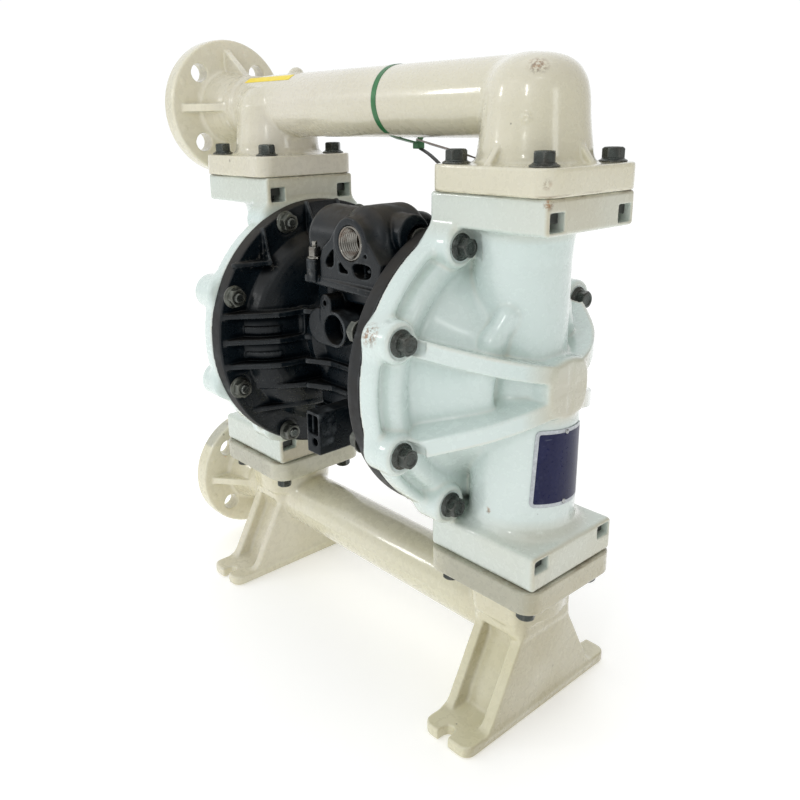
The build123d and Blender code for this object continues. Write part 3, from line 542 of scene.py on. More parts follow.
# ------------------------------------------------------------------ shapes
def fluid_cover(h):
    f = Field((X_JOIN, 0, Z_LM1), (188, 108, Z_UM0), h, half=True)
    prof = [(X_JOIN, 0), (X_JOIN, RD)] + chaikin(
        [(X_JOIN, RD), (100.5, RD), (104.6, 105.4), (105.6, 102.8), (104.2, 100.6), (101.4, 99.0), (100.6, 97.0),
         (102.6, 95.0), (107.0, 93.4), (110.2, 90.4), (111.0, 86.6), (110.0, 82.0), (108.2, 78.8), (109.2, 75.6), (114.0, 71.8), (122.0, 65.6),
         (130.5, 59.2), (137.8, 52.8), (143.4, 47.4), (147.0, 43.0), (147.2, 39.2), (142.0, 35.6), (139.4, 32.4), (139.4, -20.0)], 2) + [(X_JOIN, -20)]
    f.add(rev_x(prof, ZC))
    # crest of the dish over the upper ribs
    for a, b in (((139, 43, 262), (141.5, 36, 282)), ((141.5, 36, 282), (146, 27.5, 298.0))):
        f.add(capsule(a, b, 7.6), 5.0)
    # columns
    f.add(rev_z([(0, Z_CF0 - 8), (38.6, Z_CF0 - 8), (38.6, Z_CF0 + 0.8), (37.2, Z_CF0 + 6), (36.8, Z_CF0 + 12), (36.5, 225), (35.5, 232), (33.0, 238), (29.0, 243), (0, 246)], XC), 4.5)
    f.add(rev_z([(0, 240), (31.5, 240), (31.8, 330), (33.0, 344), (35.0, Z_CF1 + 4), (0, Z_CF1 + 4)], 134.5), 5.0)
    # square flanges
    f.add(rbox(94.8, 187.2, -44.0, 44.0, Z_LM1, Z_CF0, 3.0), 9.0)
    f.add(rbox(93.0, 186.8, -44.3, 44.3, Z_CF1, Z_UM0, 2.4), 6.0)
    # bolt bosses with a crowned rim round each bolt seat
    for a in ANG:
        y, z = RB * math.cos(math.radians(a)), ZC + RB * math.sin(math.radians(a))
        if y > 0:
            f.add(cyl("x", y, z, X_JOIN, X_SEAT + 1.2, 14.2, 4.0), 5.0)
    # hub
    f.add(ext("x", chaikin([(-20.5, 240), (-20.5, 262), (-11, 271.5), (11, 271.5), (20.5, 262), (20.5, 240), (11, 231), (-11, 231)], 2, True), 130, 177.4, 3.2), 4.0)
    # ribs from the side bosses to the hub
    rp = chaikin([(113.0, 93.0), (134.5, 75.5), (152.5, 59.0), (162.5, 46.5), (171.0, 31.5), (176.4, 16.0), (177.0, 4.0)], 1)
    rib = [(100.0, 4.0), (100.0, 93.0)] + rp

    for (za, zb, bow) in ((287.0, 263.0, -2.2), (212.0, 239.2, 2.2)):
        def fn(X, Y, Z, za=za, zb=zb, bow=bow):
            d2 = poly_sdf(X[:, :, 0], np.abs(Y[:, :, 0]), rib)[:, :, None]
            t = np.clip((np.abs(Y) - 16.0) / 76.0, -0.2, 1.1)
            zc = zb + (za - zb) * t + bow * 4.0 * t * (1 - t)
            dz = (np.abs(Z - zc) - 6.3) * 0.95
            return comb(d2 + 1.2, dz + 1.2) - 1.2
        f.add((fn, (100, 178, 0, 94, min(za, zb) - 10, max(za, zb) + 10)), 2.6)
    # parting line: a thin raised ring round the column
    f.add(cyl("z", XC, 0, 151.0, 152.2, 38.2, 0.5), 0.8)
    # inside
    f.cut(rev_x([(X_JOIN - 6, 0), (X_JOIN - 6, 85.5), (X_JOIN + 1.5, 85.5), (99.0, 82.5), (103.5, 74.5), (113.0, 60.5), (121.5, 47.0), (127.0, 35.0), (129.5, 24.0), (129.5, 0)], ZC))
    f.cut(rev_x([(X_JOIN - 6, 84.0), (X_JOIN + 2.5, 84.0), (X_JOIN + 2.5, 92.2), (X_JOIN - 6, 92.2)], ZC))
    f.cut(cyl("z", XC, 0, Z_LM1 - 6, Z_LM1 + 5.0, 24.0))
    f.cut(cyl("z", XC, 0, Z_LM1 + 3.0, 212.0, 26.0, 6.0))
    f.cut(cyl("x", 0, 206.0, 104.0, XC, 17.0), 2.0)
    f.cut(cyl("z", 137.0, 0, 292.0, Z_UM0 - 4.0, 21.5, 3.0))
    f.cut(cyl("z", XC, 0, Z_UM0 - 9.0, Z_UM0 + 6, 18.0))
    f.cut(cyl("z", XC, 0, Z_UM0 - 5.0, Z_UM0 + 6, 24.0))
    f.cut(cyl("x", 0, 300.0, 104.0, 137.0, 15.0), 2.0)
    f.add(rbox(XC - 27, XC + 27, -2.4, 2.4, 161.6, 166.0, 0.6), 1.0)
    # bolt holes and recessed seats
    for a in ANG:
        y, z = RB * math.cos(math.radians(a)), ZC + RB * math.sin(math.radians(a))
        if y > 0:
            f.cut(cyl("x", y, z, X_JOIN - 6, X_SEAT + 8, 4.4))
            f.cut(cyl("x", y, z, X_SEAT, X_SEAT + 11, 10.3, 0, 11.8), 1.2)
    # manifold bolt holes and nut pockets, open towards both X faces
    for bx in (-BX, BX):
        x = XC + bx
        f.cut(cyl("z", x, BX, Z_LM1 - 6, Z_CF0 - 2.0, 4.4))
        f.cut(cyl("z", x, BX, Z_CF1 + 2.0, Z_UM0 + 6, 4.4))
        x0, x1 = (x - 6.9, 194.0) if bx > 0 else (XC - 55.0, x + 6.9)
        f.cut(rbox(x0, x1, BX - 6.9, BX + 6.9, 135.9, 144.9, 0.5), 0.6)
        f.cut(rbox(x0, x1, BX - 6.9, BX + 6.9, 355.6, 366.8, 0.5), 0.6)
    return f


def cover_hidden(P):
    x, y, z = P.T
    rho = np.hypot(y, z - ZC)
    rc = np.hypot(x - XC, y)
    ru = np.hypot(x - 137.0, y)
    inner = (x < X_JOIN + 0.6) & (rho < RD - 1.5)
    dish = (rho < 86.5) & (x < 130.5) & ((x - X_JOIN) < (86.5 - rho) * 0.62 + 2.0)
    low = (rc < 27.0) & (z < 235)
    high = (ru < 24.8) & (z > 288)
    return inner | dish | low | high


def pipe_flange(f, zc, rt):
    rf = R_FL - 0.03
    pr = [(X_FL0, 0), (X_FL0, rf - 4)] + chaikin([(X_FL0, rf - 4), (X_FL0, rf - 1.2), (X_FL0 + 1.2, rf), (X_FL0 + 4, rf),
          (X_FL1 - 4.5, rf), (X_FL1 - 0.8, rf - 0.4), (X_FL1, rf - 2.2), (X_FL1, rf - 12)], 2) + [(X_FL1, 0)]
    f.add(rev_x(pr, zc))
    hub = chaikin([(X_FL1 - 3, rt + 7.5), (-206, rt + 5.0), (-194, rt + 2.6), (-182, rt + 0.6), (-174, rt)], 2)
    f.add(rev_x([(X_FL1 - 3, 0)] + hub + [(-174, 0)], zc), 4.5)
    for a in (0, 90, 180, 270):
        g = ext("y", [(X_FL1 - 3, zc + rt - 5), (X_FL1 - 3, zc + 50.0), (X_FL1 + 0.5, zc + 50.0), (-181.0, zc + rt), (-181.0, zc + rt - 5)], -3.4, 3.4, 0.6)
        f.add(rotated(g, "x", a, (0, 0, zc)), 1.4)
    for a in (25, 68, 118, 160, 205, 245, 292, 340):
        f.add(cyl("x", 52.0 * math.cos(math.radians(a)), zc + 52.0 * math.sin(math.radians(a)), X_FL1 - 2, X_FL1 + 0.5, 2.6, 0.4), 0.3)


def pipe_flange_cuts(f, zc):
    for a in (45, 135, 225, 315):
        f.cut(cyl("x", 42.5 * math.cos(math.radians(a)), zc + 42.5 * math.sin(math.radians(a)), X_FL0 - 6, X_FL1 + 12, 8.0), 0.6)
    f.cut(cyl("x", 0, zc, X_FL0 - 6, -189.7, 17.0), 1.2)


FOOT = [(64.0, 6.0), (60.0, 9.5), (55.0, 16.0), (51.5, 23.0), (47.0, 31.0), (41.0, 42.5), (35.5, 53.0), (29.0, 65.0), (25.0, 76.0), (25.0, 92.0)]


def inlet_manifold(h):
    f = Field((X_FL0, 0, 0), (189.5, 83, 129), h, half=True)
    pipe_flange(f, Z_IN, R_IN)
    f.add(cyl("x", 0, Z_IN, -182, 130, R_IN), 5.0)
    f.add(rbox(-100, 100, R_IN - 2, R_IN + 0.35, Z_IN - 0.5, Z_IN + 0.5, 0.3), 0.9)
    plate = FOOT + [(-a, b) for a, b in FOOT[::-1]]
    for s in (-1, 1):
        xc = s * XC
        lo = lambda a, b: (min(s * a, s * b), max(s * a, s * b))
        a0, a1 = lo(158.0, 167.5)
        f.add(ext("x", plate, a0, a1, 1.6), 3.5)
        a0, a1 = lo(124.5, 132.5)
        f.add(ext("x", plate, a0, a1, 1.6), 3.5)
        web = [(-46, 5), (46, 5), (40, 22), (22, 56), (20, 80), (-20, 80), (-22, 56), (-40, 22)]
        a0, a1 = lo(129.0, 161.0)
        f.add(ext("x", web, a0, a1, 1.5), 4.0)
        # solid block over the pocket between the plates
        a0, a1 = lo(122.5, 168.0)

        def blk(X, Y, Z, a0=a0, a1=a1):
            hy = np.interp(Z.ravel(), [60, 65, 80, 91, 104, 110], [28.0, 29.0, 31.2, 33.0, 35.5, 38.0]).reshape(Z.shape)
            a = np.abs(X - (a0 + a1) / 2) - ((a1 - a0) / 2 - 9.0)
            b = np.abs(Y) - (hy - 9.0)
            d = np.sqrt(np.maximum(a, 0) ** 2 + np.maximum(b, 0) ** 2) + np.minimum(np.maximum(a, b), 0) - 9.0
            return comb(d + 3.0, np.abs(Z - 88.0) - 19.5 + 3.0) - 3.0
        f.add((blk, (a0, a1, -38, 38, 68.5, 107.5)), 4.0)
        f.add(rev_z([(0, 80), (33.5, 80), (34.5, 96), (36.5, Z_LM0 + 3), (0, Z_LM0 + 3)], xc), 4.0)
        f.add(ext("z", rrect(xc, 0, HM, HM, 12.5), Z_LM0, Z_LM1, 1.4), 5.0)
        # base plate with open slots
        a0, a1 = lo(124.5, 167.5)
        f.add(ext("z", rrect((a0 + a1) / 2, 0, (a1 - a0) / 2, 82.0, 8.0), 0, 9.0, 1.6), 3.5)
        f.cut(ext("z", [(s * 144 - 4.5, 75.5), (s * 144 - 4.5, 90), (s * 144 + 4.5, 90), (s * 144 + 4.5, 75.5), (s * 144 + 3.2, 72.3), (s * 144, 71.0), (s * 144 - 3.2, 72.3)], -6, 16), 1.0)
    pipe_flange_cuts(f, Z_IN)
    f.cut(cyl("x", 0, Z_IN, -195, 141, R_BORE))
    f.cut(sph(141, 0, Z_IN, R_BORE))
    for s in (-1, 1):
        xc = s * XC
        f.cut(cyl("z", xc, 0, Z_IN, Z_LM1 + 6, 18.0), 1.0)
        f.cut(cyl("z", xc, 0, Z_LM1 - 5, Z_LM1 + 6, 24.0))
        for bx in (-BX, BX):
            f.cut(cyl("z", xc + bx, BX, Z_LM0 - 6, Z_LM1 + 6, 4.4))
    return f


def outlet_manifold(h):
    f = Field((X_FL0, 0, 372), (189.5, 61, 492), h, half=True)
    pipe_flange(f, Z_OUT, R_OUT)
    f.add(cyl("x", 0, Z_OUT, -182, 141, R_OUT), 4.0)
    near = [(0, Z_UM1 - 3), (36.4, Z_UM1 - 3), (36.2, 397)] + chaikin([(36.2, 397), (35.6, 402), (33.4, 417), (32.4, 434), (29.6, 444), (22.5, 452.6), (11.0, 456.8), (0.01, 457.0)], 2) + [(0, 457.0)]
    f.add(rev_z(near, XC), 3.0)
    f.add(rev_z([(0, Z_UM1 - 3), (36.4, Z_UM1 - 3), (35.6, 402), (33.6, 417), (32.6, 432), (29.5, 440), (24.0, 446), (0, 449)], -XC), 3.0)
    for s in (-1, 1):
        f.add(ext("z", rrect(s * XC, 0, HM, HM, 12.5), Z_UM0, Z_UM1, 1.4), 6.5)
        for a in ((0, 90, 270) if s > 0 else ()):
            g = ext("y", [(s * XC + 30, Z_UM1 - 3), (s * XC + 30, Z_UM1 + 12), (s * XC + 35.5, Z_UM1 + 12), (s * XC + 44.5, Z_UM1 + 1.5), (s * XC + 44.5, Z_UM1 - 3)], -2.6, 2.6, 0.6)
            f.add(rotated(g, "z", a, (s * XC, 0, 0)), 1.2)
    f.add(sph(-108.5, 0.0, 455.2, 6.6), 1.2)
    # moulding gate on the elbow
    f.add(sph(XC + 14.9, 27.2, 418.9, 3.8), 0.6)
    f.cut(sph(XC + 17.1, 31.2, 418.9, 1.9), 0.3)
    pipe_flange_cuts(f, Z_OUT)
    f.cut(cyl("x", 0, Z_OUT, -195, 141, R_BORE))
    f.cut(sph(141, 0, Z_OUT, R_BORE))
    for s in (-1, 1):
        xc = s * XC
        f.cut(cyl("z", xc, 0, Z_UM0 - 6, 414.6, 25.5, 2.0))
        f.cut(cyl("z", xc, 0, 410, Z_OUT, R_BORE), 1.0)
        f.add(rbox(xc - 26.5, xc + 26.5, -2.4, 2.4, 410.6, 414.6, 0.5), 0.8)
        for bx in (-BX, BX):
            f.cut(cyl("z", xc + bx, BX, Z_UM0 - 6, Z_UM1 + 6, 4.4))
    return f


def manifold_hidden(zt, zs0, zs1):
    def fn(P):
        x, y, z = P.T
        tube = (np.hypot(y, z - zt) < 17.6) & (x > -222)
        n1 = (np.hypot(np.abs(x) - XC, y) < 26.5) & (z > min(zs0, zt)) & (z < max(zs1, zt))
        return tube | n1
    return fn


DOME = [(X_DISC, 85.0), (76.0, 82.5), (70.0, 78.0), (65.0, 71.0), (60.5, 61.0), (57.8, 50.0), (56.0, 41.0), (52.0, 37.0)]


def air_cover(h, far):
    f = Field((51, -108, ZC - 108), (X_JOIN, 108, ZC + 108), h)
    prof = [(X_JOIN, 0), (X_JOIN, RD), (X_DISC + 1.2, RD), (X_DISC, RD - 1.2)] + DOME + [(52.0, 0)]
    dome = rev_x([prof[0], prof[1]] + chaikin(prof[1:-1], 1) + [prof[-1]], ZC)
    f.add(dome)
    for s in (-1, 1):
        for z in (230.3, 250.6, 271.8):
            o = [(X_DISC + 3, s * 103.4), (X_DISC, s * 102.8), (71.5, s * 91.3), (61.9, s * 78.9), (54.6, s * 66), (52.4, s * 56.5), (52.0, s * 45), (52.0, s * 20), (X_DISC + 3, s * 20)]
            f.add(ext("z", o, z - 2.3, z + 2.3, 0.8), 1.2)
        f.add(ext("z", [(X_DISC + 3, s * 77), (X_DISC, s * 75.5), (66, s * 63), (56, s * 50), (52.0, s * 44), (52.0, s * 20), (X_DISC + 3, s * 20)], 206.8, 211.3, 0.8), 1.2)
        f.add(ext("z", [(X_DISC + 3, s * 81), (X_DISC, s * 79), (72, s * 59), (63, s * 35), (61.0, s * 20), (X_DISC + 3, s * 20)], 186.0, 190.6, 0.8), 1.2)
        # closed end between the two upper fins, with low pads on the flank
        f.add(rbox(52.3, 60, min(s * 38.5, s * 43), max(s * 38.5, s * 43), 248.6, 273.6, 0.8), 4.0)
        for z0, z1 in ((255.2, 261.6), (234.4, 240.6)):
            b = rbox(59.0, X_DISC + 0.4, min(s * 60.5, s * 84.5), max(s * 60.5, s * 84.5), z0, z1, 0.6)

            def pad(X, Y, Z, b=b):
                return np.maximum(dome[0](X, Y, Z) - 1.3, b[0](X, Y, Z))
            f.add((pad, b[1]), 0.6)
        f.add(ext("y", [(82, 300), (82, 356), (79.0, 356), (66.4, 334.0), (60.0, 319.0), (57.2, 306.0), (58.5, 300)], min(s * 17.4, s * 14.6), max(s * 17.4, s * 14.6), 0.6), 1.0)
        if far or s > 0:
            f.add(ext("y", [(82, 309), (82, 338), (78, 338), (71, 313), (71, 309)], min(s * 61.2, s * 58.8), max(s * 61.2, s * 58.8), 0.6), 1.2)
            f.add(ext("z", [(82, s * 90), (79, s * 90), (71, s * 62), (69.5, s * 58.6), (82, s * 58.6)], 309.0, 313.0, 0.9), 1.4)
    # pockets round the nuts
    f.cut(rev_x([(X_JOIN + 6, 0), (X_JOIN + 6, 85.5), (X_JOIN - 2.0, 85.5), (85.0, 82.0), (77.0, 75.5), (70.5, 67.0), (66.5, 58.0), (64.5, 52.0), (64.5, 0)], ZC))
    f.cut(rev_x([(X_JOIN + 6, 84.0), (X_JOIN - 2.5, 84.0), (X_JOIN - 2.5, 92.2), (X_JOIN + 6, 92.2)], ZC))
    f.cut(cyl("x", 0, ZC, 46, 68, 11.5))
    for a in ANG:
        y, z = RB * math.cos(math.radians(a)), ZC + RB * math.sin(math.radians(a))
        f.cut(cyl("x", y, z, X_DISC - 12, X_JOIN + 6, 4.4))
        f.cut(cyl("x", y, z, X_DISC - 30, X_DISC, 10.6), 0.8)
    return f


def air_hidden(P):
    x, y, z = P.T
    rho = np.hypot(y, z - ZC)
    return (rho < 93.5) & (x > 64.0) & ((x > X_JOIN - 3.2) | ((rho < 86) & (x - 64.5 > (rho - 52.0) * 0.42 - 2.2)) & (x > 64.3) & (x > 66 + (rho - 58) * 0.25 - 3))


def center_housing(h):
    XH = 51.8
    f = Field((-54, -79, 172), (79, 63, 366), h)
    f.add(rev_x([(-XH, 0), (-XH, 42), (-44, 42), (-37, 35), (37, 35), (44, 42), (XH, 42), (XH, 0)], ZC))
    f.add(rbox(-XH, XH, -30, 30, 190, 300, 4), 3)
    for s in (-1, 1):
        for z in (209.1, 230.3, 250.6, 271.8):
            f.add(ext("z", [(-XH, s * 45), (-44, s * 41), (-30, s * 35), (30, s * 35), (44, s * 41), (XH, s * 45), (XH, 0), (-XH, 0)], z - 2.3, z + 2.3, 0.8), 1.4)
        f.add(rbox(-XH, XH, min(s * 20, s * 37), max(s * 20, s * 37), 186.0, 190.6, 0.8), 1.4)
    # shelf, valve barrel and air inlet body
    f.add(ext("z", [(-8, -73), (77, -78), (77, -60), (59, -50), (59, -30), (50, 12), (-24, 12), (-24, -46)], 306.0, 311.5, 1.0), 1.6)
    f.add(rbox(-14, 50, -50, 10, 290, 309, 3), 4)
    f.add(cyl("x", -42, 336.5, -15.5, 59.2, 24.3, 8.0, 21.6), 3)
    f.add(rbox(-10, 59.2, -62, -18, 308, 334, 3), 4)
    plate = [(12, 308), (12, 325), (16, 334), (24, 340), (31, 349), (37.5, 355), (45.0, 357.6), (52.9, 356), (77.3, 328), (77.3, 308)]
    f.add(ext("y", plate, -74.0, -48.0, 1.0), 2.5)
    f.add(cyl("y", 47, 339.8, -74.4, -44, 17.2, 1.0), 1.5)
    f.add(cyl("y", 47, 339.8, -64, -21, 24.0, 6.0), 7)
    f.add(cyl("x", -43, 344.6, 61.5, 77.5, 14.3, 1.0), 1.2)
    f.add(cyl("x", -12, 339.5, -8, 56, 17.0, 6.0), 6)
    f.add(rbox(-22, 46, 8, 34, 296, 326, 4), 4)
    f.add(cyl("x", 20, 326, -22, 46, 14, 4), 4)
    # exhaust boss, lug above it, lower bracket
    f.add(cyl("y", -5.5, 271.5, -63.4, -28, 13.6, 0.9))
    f.add(cyl("y", 12.0, 271.5, -63.4, -28, 13.6, 0.9))
    f.add(rbox(-5.5, 12.0, -63.4, -28, 257.9, 285.1, 0.9))
    f.add(cyl("y", 3.1, 290.3, -63.4, -44, 6.6, 0.8), 1.0)
    f.add(rbox(-3.5, 9.7, -63.4, -44, 275, 291, 0.8), 1.0)
    f.add(cyl("y", 3.1, 290.3, -64.2, -44, 3.6, 0.4), 0.3)
    f.add(rbox(-7.2, 8.4, -77.5, -10, 174.0, 207.5, 0.8), 1.2)
    f.add(rbox(-7.5, 7.5, 10, 62, 180.0, 216.0, 1.5), 2)
    # ground stud boss
    f.add(rbox(0.2, 10.4, -77.3, -60, 308, 325.0, 0.9), 1.5)
    # bores and pockets
    f.cut(cyl("x", 0, ZC, -60, 60, 10.6))
    for s in (-1, 1):
        f.cut(cyl("x", 0, ZC, min(s * 30, s * 60), max(s * 30, s * 60), 13.0))
    f.cut(cyl("x", -42, 336.5, -12, 60.5, 14.0))
    f.cut(cyl("y", 47, 339.8, -80, -57, 12.05), 0.5)
    f.cut(cyl("y", 47, 339.8, -60, -52, 7.0))
    f.cut(cyl("y", 12.0, 271.5, -70, -48, 10.9), 0.8)
    f.cut(cyl("y", 12.0, 271.5, -50, -42, 7.0))
    f.cut(cyl("y", 3.1, 290.3, -70, -51.4, 1.9), 0.4)
    f.cut(ext("y", [(18.8, 323.5), (20.6, 321.2), (25.0, 321.0), (28.0, 323.4), (28.4, 334.5), (24.6, 331.5), (21.0, 328.0)], -80, -64), 0.8)
    f.cut(ext("y", [(33.4, 325.0), (36.0, 325.0), (40.0, 321.6), (43.2, 320.4), (43.2, 318.8), (34.4, 318.6)], -80, -66), 0.7)
    f.cut(ext("y", chaikin([(48.4, 326.8), (66.4, 326.8), (68.4, 322.6), (66.0, 317.6), (56.0, 316.6), (49.6, 318.8)], 2, True), -80, -64), 0.8)
    f.add(rbox(57.6, 59.2, -71.5, -62, 316, 326, 0.4), 0.4)
    f.add(rbox(61.5, 66.0, -72.0, -62, 321.0, 323.6, 0.6), 0.4)
    f.cut(cyl("y", 62.4, 332.4, -80, -66, 1.3), 0.3)
    f.cut(cyl("y", 2.7, 184.0, -84, -64, 3.0), 0.6)
    f.cut(rbox(-5.6, 6.6, -84, -62, 190.0, 205.0, 1.0), 0.8)
    f.add(rbox(-3.6, -1.2, -75.5, -60, 190, 205, 0.5), 0.5)
    f.cut(cyl("z", 5.3, -72.5, 312, 330, 2.05))
    # clear of the near air cover and its nuts
    f.cut(rev_x([(53.0, 0), (53.0, 36.0), (56.5, 40.0), (57.0, 50.5), (59.4, 61.6), (63.8, 72.0), (69.0, 79.4), (75.4, 84.2), (78.0, 86.4), (78.0, 108.5), (95, 108.5), (95, 0)], ZC))
    y, z = RB * math.cos(math.radians(112.9)), ZC + RB * math.sin(math.radians(112.9))
    f.cut(cyl("x", y, z, 60.5, 84, 10.9), 0.6)
    return f


# ------------------------------------------------------------------ fasteners and small parts
def lathe(rings, seg=24, cap0=True, cap1=True):
    """rings: list of (radius or function of angle, z). Returns verts, faces about Z."""
    V, Fc = [], []
    th = [2 * math.pi * i / seg for i in range(seg)]
    for r, z in rings:
        for t in th:
            rr = r(t) if callable(r) else r
            V.append((rr * math.cos(t), rr * math.sin(t), z))
    for j in range(len(rings) - 1):
        for i in range(seg):
            a, b = j * seg + i, j * seg + (i + 1) % seg
            Fc.append((a, b, b + seg, a + seg))
    if cap0:
        c = len(V)
        V.append((0, 0, rings[0][1]))
        for i in range(seg):
            Fc.append((c, (i + 1) % seg, i))
    if cap1:
        c = len(V)
        V.append((0, 0, rings[-1][1]))
        o = (len(rings) - 1) * seg
        for i in range(seg):
            Fc.append((c, o + i, o + (i + 1) % seg))
    return V, Fc


def hexr(a, lim, ph=0.0):
    def r(t):
        q = (t + ph) % (math.pi / 3)
        return min(a / math.cos(q - math.pi / 6), lim)
    return r


def thread_rings(z0, z1, r_out, pitch, depth):
    """Rings of a cut thread from z0 to z1 (either direction)."""
    s = 1 if z1 > z0 else -1
    n = max(1, int(abs(z1 - z0) / pitch))
    out = []
    for i in range(n):
        z = z0 + s * i * pitch
        out += [(r_out, z + s * 0.1 * pitch), (r_out, z + s * 0.3 * pitch), (r_out - depth, z + s * 0.62 * pitch), (r_out - depth, z + s * 0.78 * pitch)]
    return out


def flanged_bolt(length, z_thread, af=12.0, head=9.0):
    """Head above z = 0, shank down to -length, threaded from -z_thread."""
    a = af / 2
    seg = 36
    rings = [(1.6, -length - 0.02), (2.9, -length), (3.9, -length + 0.9)]
    rings += [(r, z) for r, z in thread_rings(-length + 1.0, -z_thread, 3.96, 1.25, 0.55)]
    rings += [(3.96, -z_thread + 0.6), (3.96, -0.35), (4.3, 0.0), (8.6, 0.0), (8.95, 0.25), (9.0, 0.6), (8.9, 0.95), (8.5, 1.2), (7.6, 1.55), (7.15, 1.95), (6.95, 2.3)]
    rings += [(hexr(a, 6.93), 2.62), (hexr(a, 99), 3.0), (hexr(a, 99), head - 1.25)]
    for i in range(1, 5):
        t = i / 4
        rings.append((hexr(a, a * (1.155 - 0.165 * t)), head - 1.05 + 0.82 * t))
    rings += [(a * 0.95, head - 0.06), (a * 0.92, head), (a * 0.70, head), (a * 0.62, head - 0.55), (a * 0.2, head - 0.6)]
    return lathe(rings, seg)


def flanged_nut(af=13.0, high=8.6, bore=3.9):
    a = af / 2
    rings = [(bore, high - 0.9), (bore + 0.9, high), (a * 0.86, high)]
    for i in range(5):
        t = 1 - i / 4
        rings.append((hexr(a, a * (1.155 - 0.205 * t)), high - 0.95 + 0.8 * t))
    rings += [(hexr(a, 99), high - 1.2), (hexr(a, 99), 3.1), (hexr(a, 7.5), 2.7), (7.45, 2.4), (7.7, 2.0), (8.4, 1.6), (8.9, 1.2), (9.0, 0.7), (8.9, 0.25), (8.6, 0.0), (bore + 0.6, 0.0), (bore, 0.5)]
    rings = rings[::-1]
    V, Fc = lathe(rings, 36, False, False)
    n = len(rings) * 36
    o = (len(rings) - 1) * 36
    for i in range(36):
        Fc.append((o + i, o + (i + 1) % 36, (i + 1) % 36, i))
    return V, Fc


def bar_tip(z0, z1):
    """Threaded stud end from z0 up to z1 with a chamfer and a dimple."""
    rings = [(3.9, z0)] + thread_rings(z0 + 0.1, z1 - 1.3, 3.96, 1.25, 0.55) + [(3.9, z1 - 1.1), (3.0, z1 - 0.15), (2.7, z1), (1.9, z1 - 0.05), (1.3, z1 - 0.7), (0.5, z1 - 1.0)]
    return lathe(rings, 24)


def square_nut():
    import bmesh
    bm = bmesh.new()
    bmesh.ops.create_cube(bm, size=1.0)
    for v in bm.verts:
        v.co.x *= 13.0
        v.co.y *= 13.0
        v.co.z *= 6.5
    bmesh.ops.bevel(bm, geom=list(bm.edges), offset=0.9, segments=3, profile=0.6, affect="EDGES")
    V = [tuple(v.co) for v in bm.verts]
    Fc = [tuple(v.index for v in f.verts) for f in bm.faces]
    bm.free()
    # drilled look: a raised collar with the screw's end inside
    V2, F2 = lathe([(4.9, 3.2), (4.6, 3.5), (4.0, 3.3), (3.9, 2.4)], 24, False, False)
    o = len(V)
    V += V2
    Fc += [tuple(i + o for i in f) for f in F2]
    return V, Fc


def place(parts):
    """parts: list of (V, F, matrix 3x3 as columns, origin in mm). One mesh."""
    VV, FF = [], []
    for V, Fc, A, o in parts:
        base = len(VV)
        P = np.array(V) @ np.array(A).T + np.array(o)
        VV += [tuple(p * 0.001) for p in P]
        if np.linalg.det(np.array(A)) < 0:
            FF += [tuple(i + base for i in f[::-1]) for f in Fc]
        else:
            FF += [tuple(i + base for i in f) for f in Fc]
    return VV, FF


def turn_z(d):
    c, s = math.cos(d), math.sin(d)
    return np.array([[c, -s, 0], [s, c, 0], [0, 0, 1.0]])


AX_P = np.array([[0, 0, 1.0], [1, 0, 0], [0, 1, 0]])       # local z -> +X
AX_N = np.array([[0, 0, -1.0], [1, 0, 0], [0, -1, 0]])     # local z -> -X
UP = np.eye(3)
DOWN = np.array([[1.0, 0, 0], [0, -1, 0], [0, 0, -1]])


def hard(o, deg=35):
    """Smooth by angle on a hard-surface mesh."""
    me = o.data
    me.polygons.foreach_set("use_smooth", np.ones(len(me.polygons), bool))
    me.set_sharp_from_angle(angle=math.radians(deg))
    return o


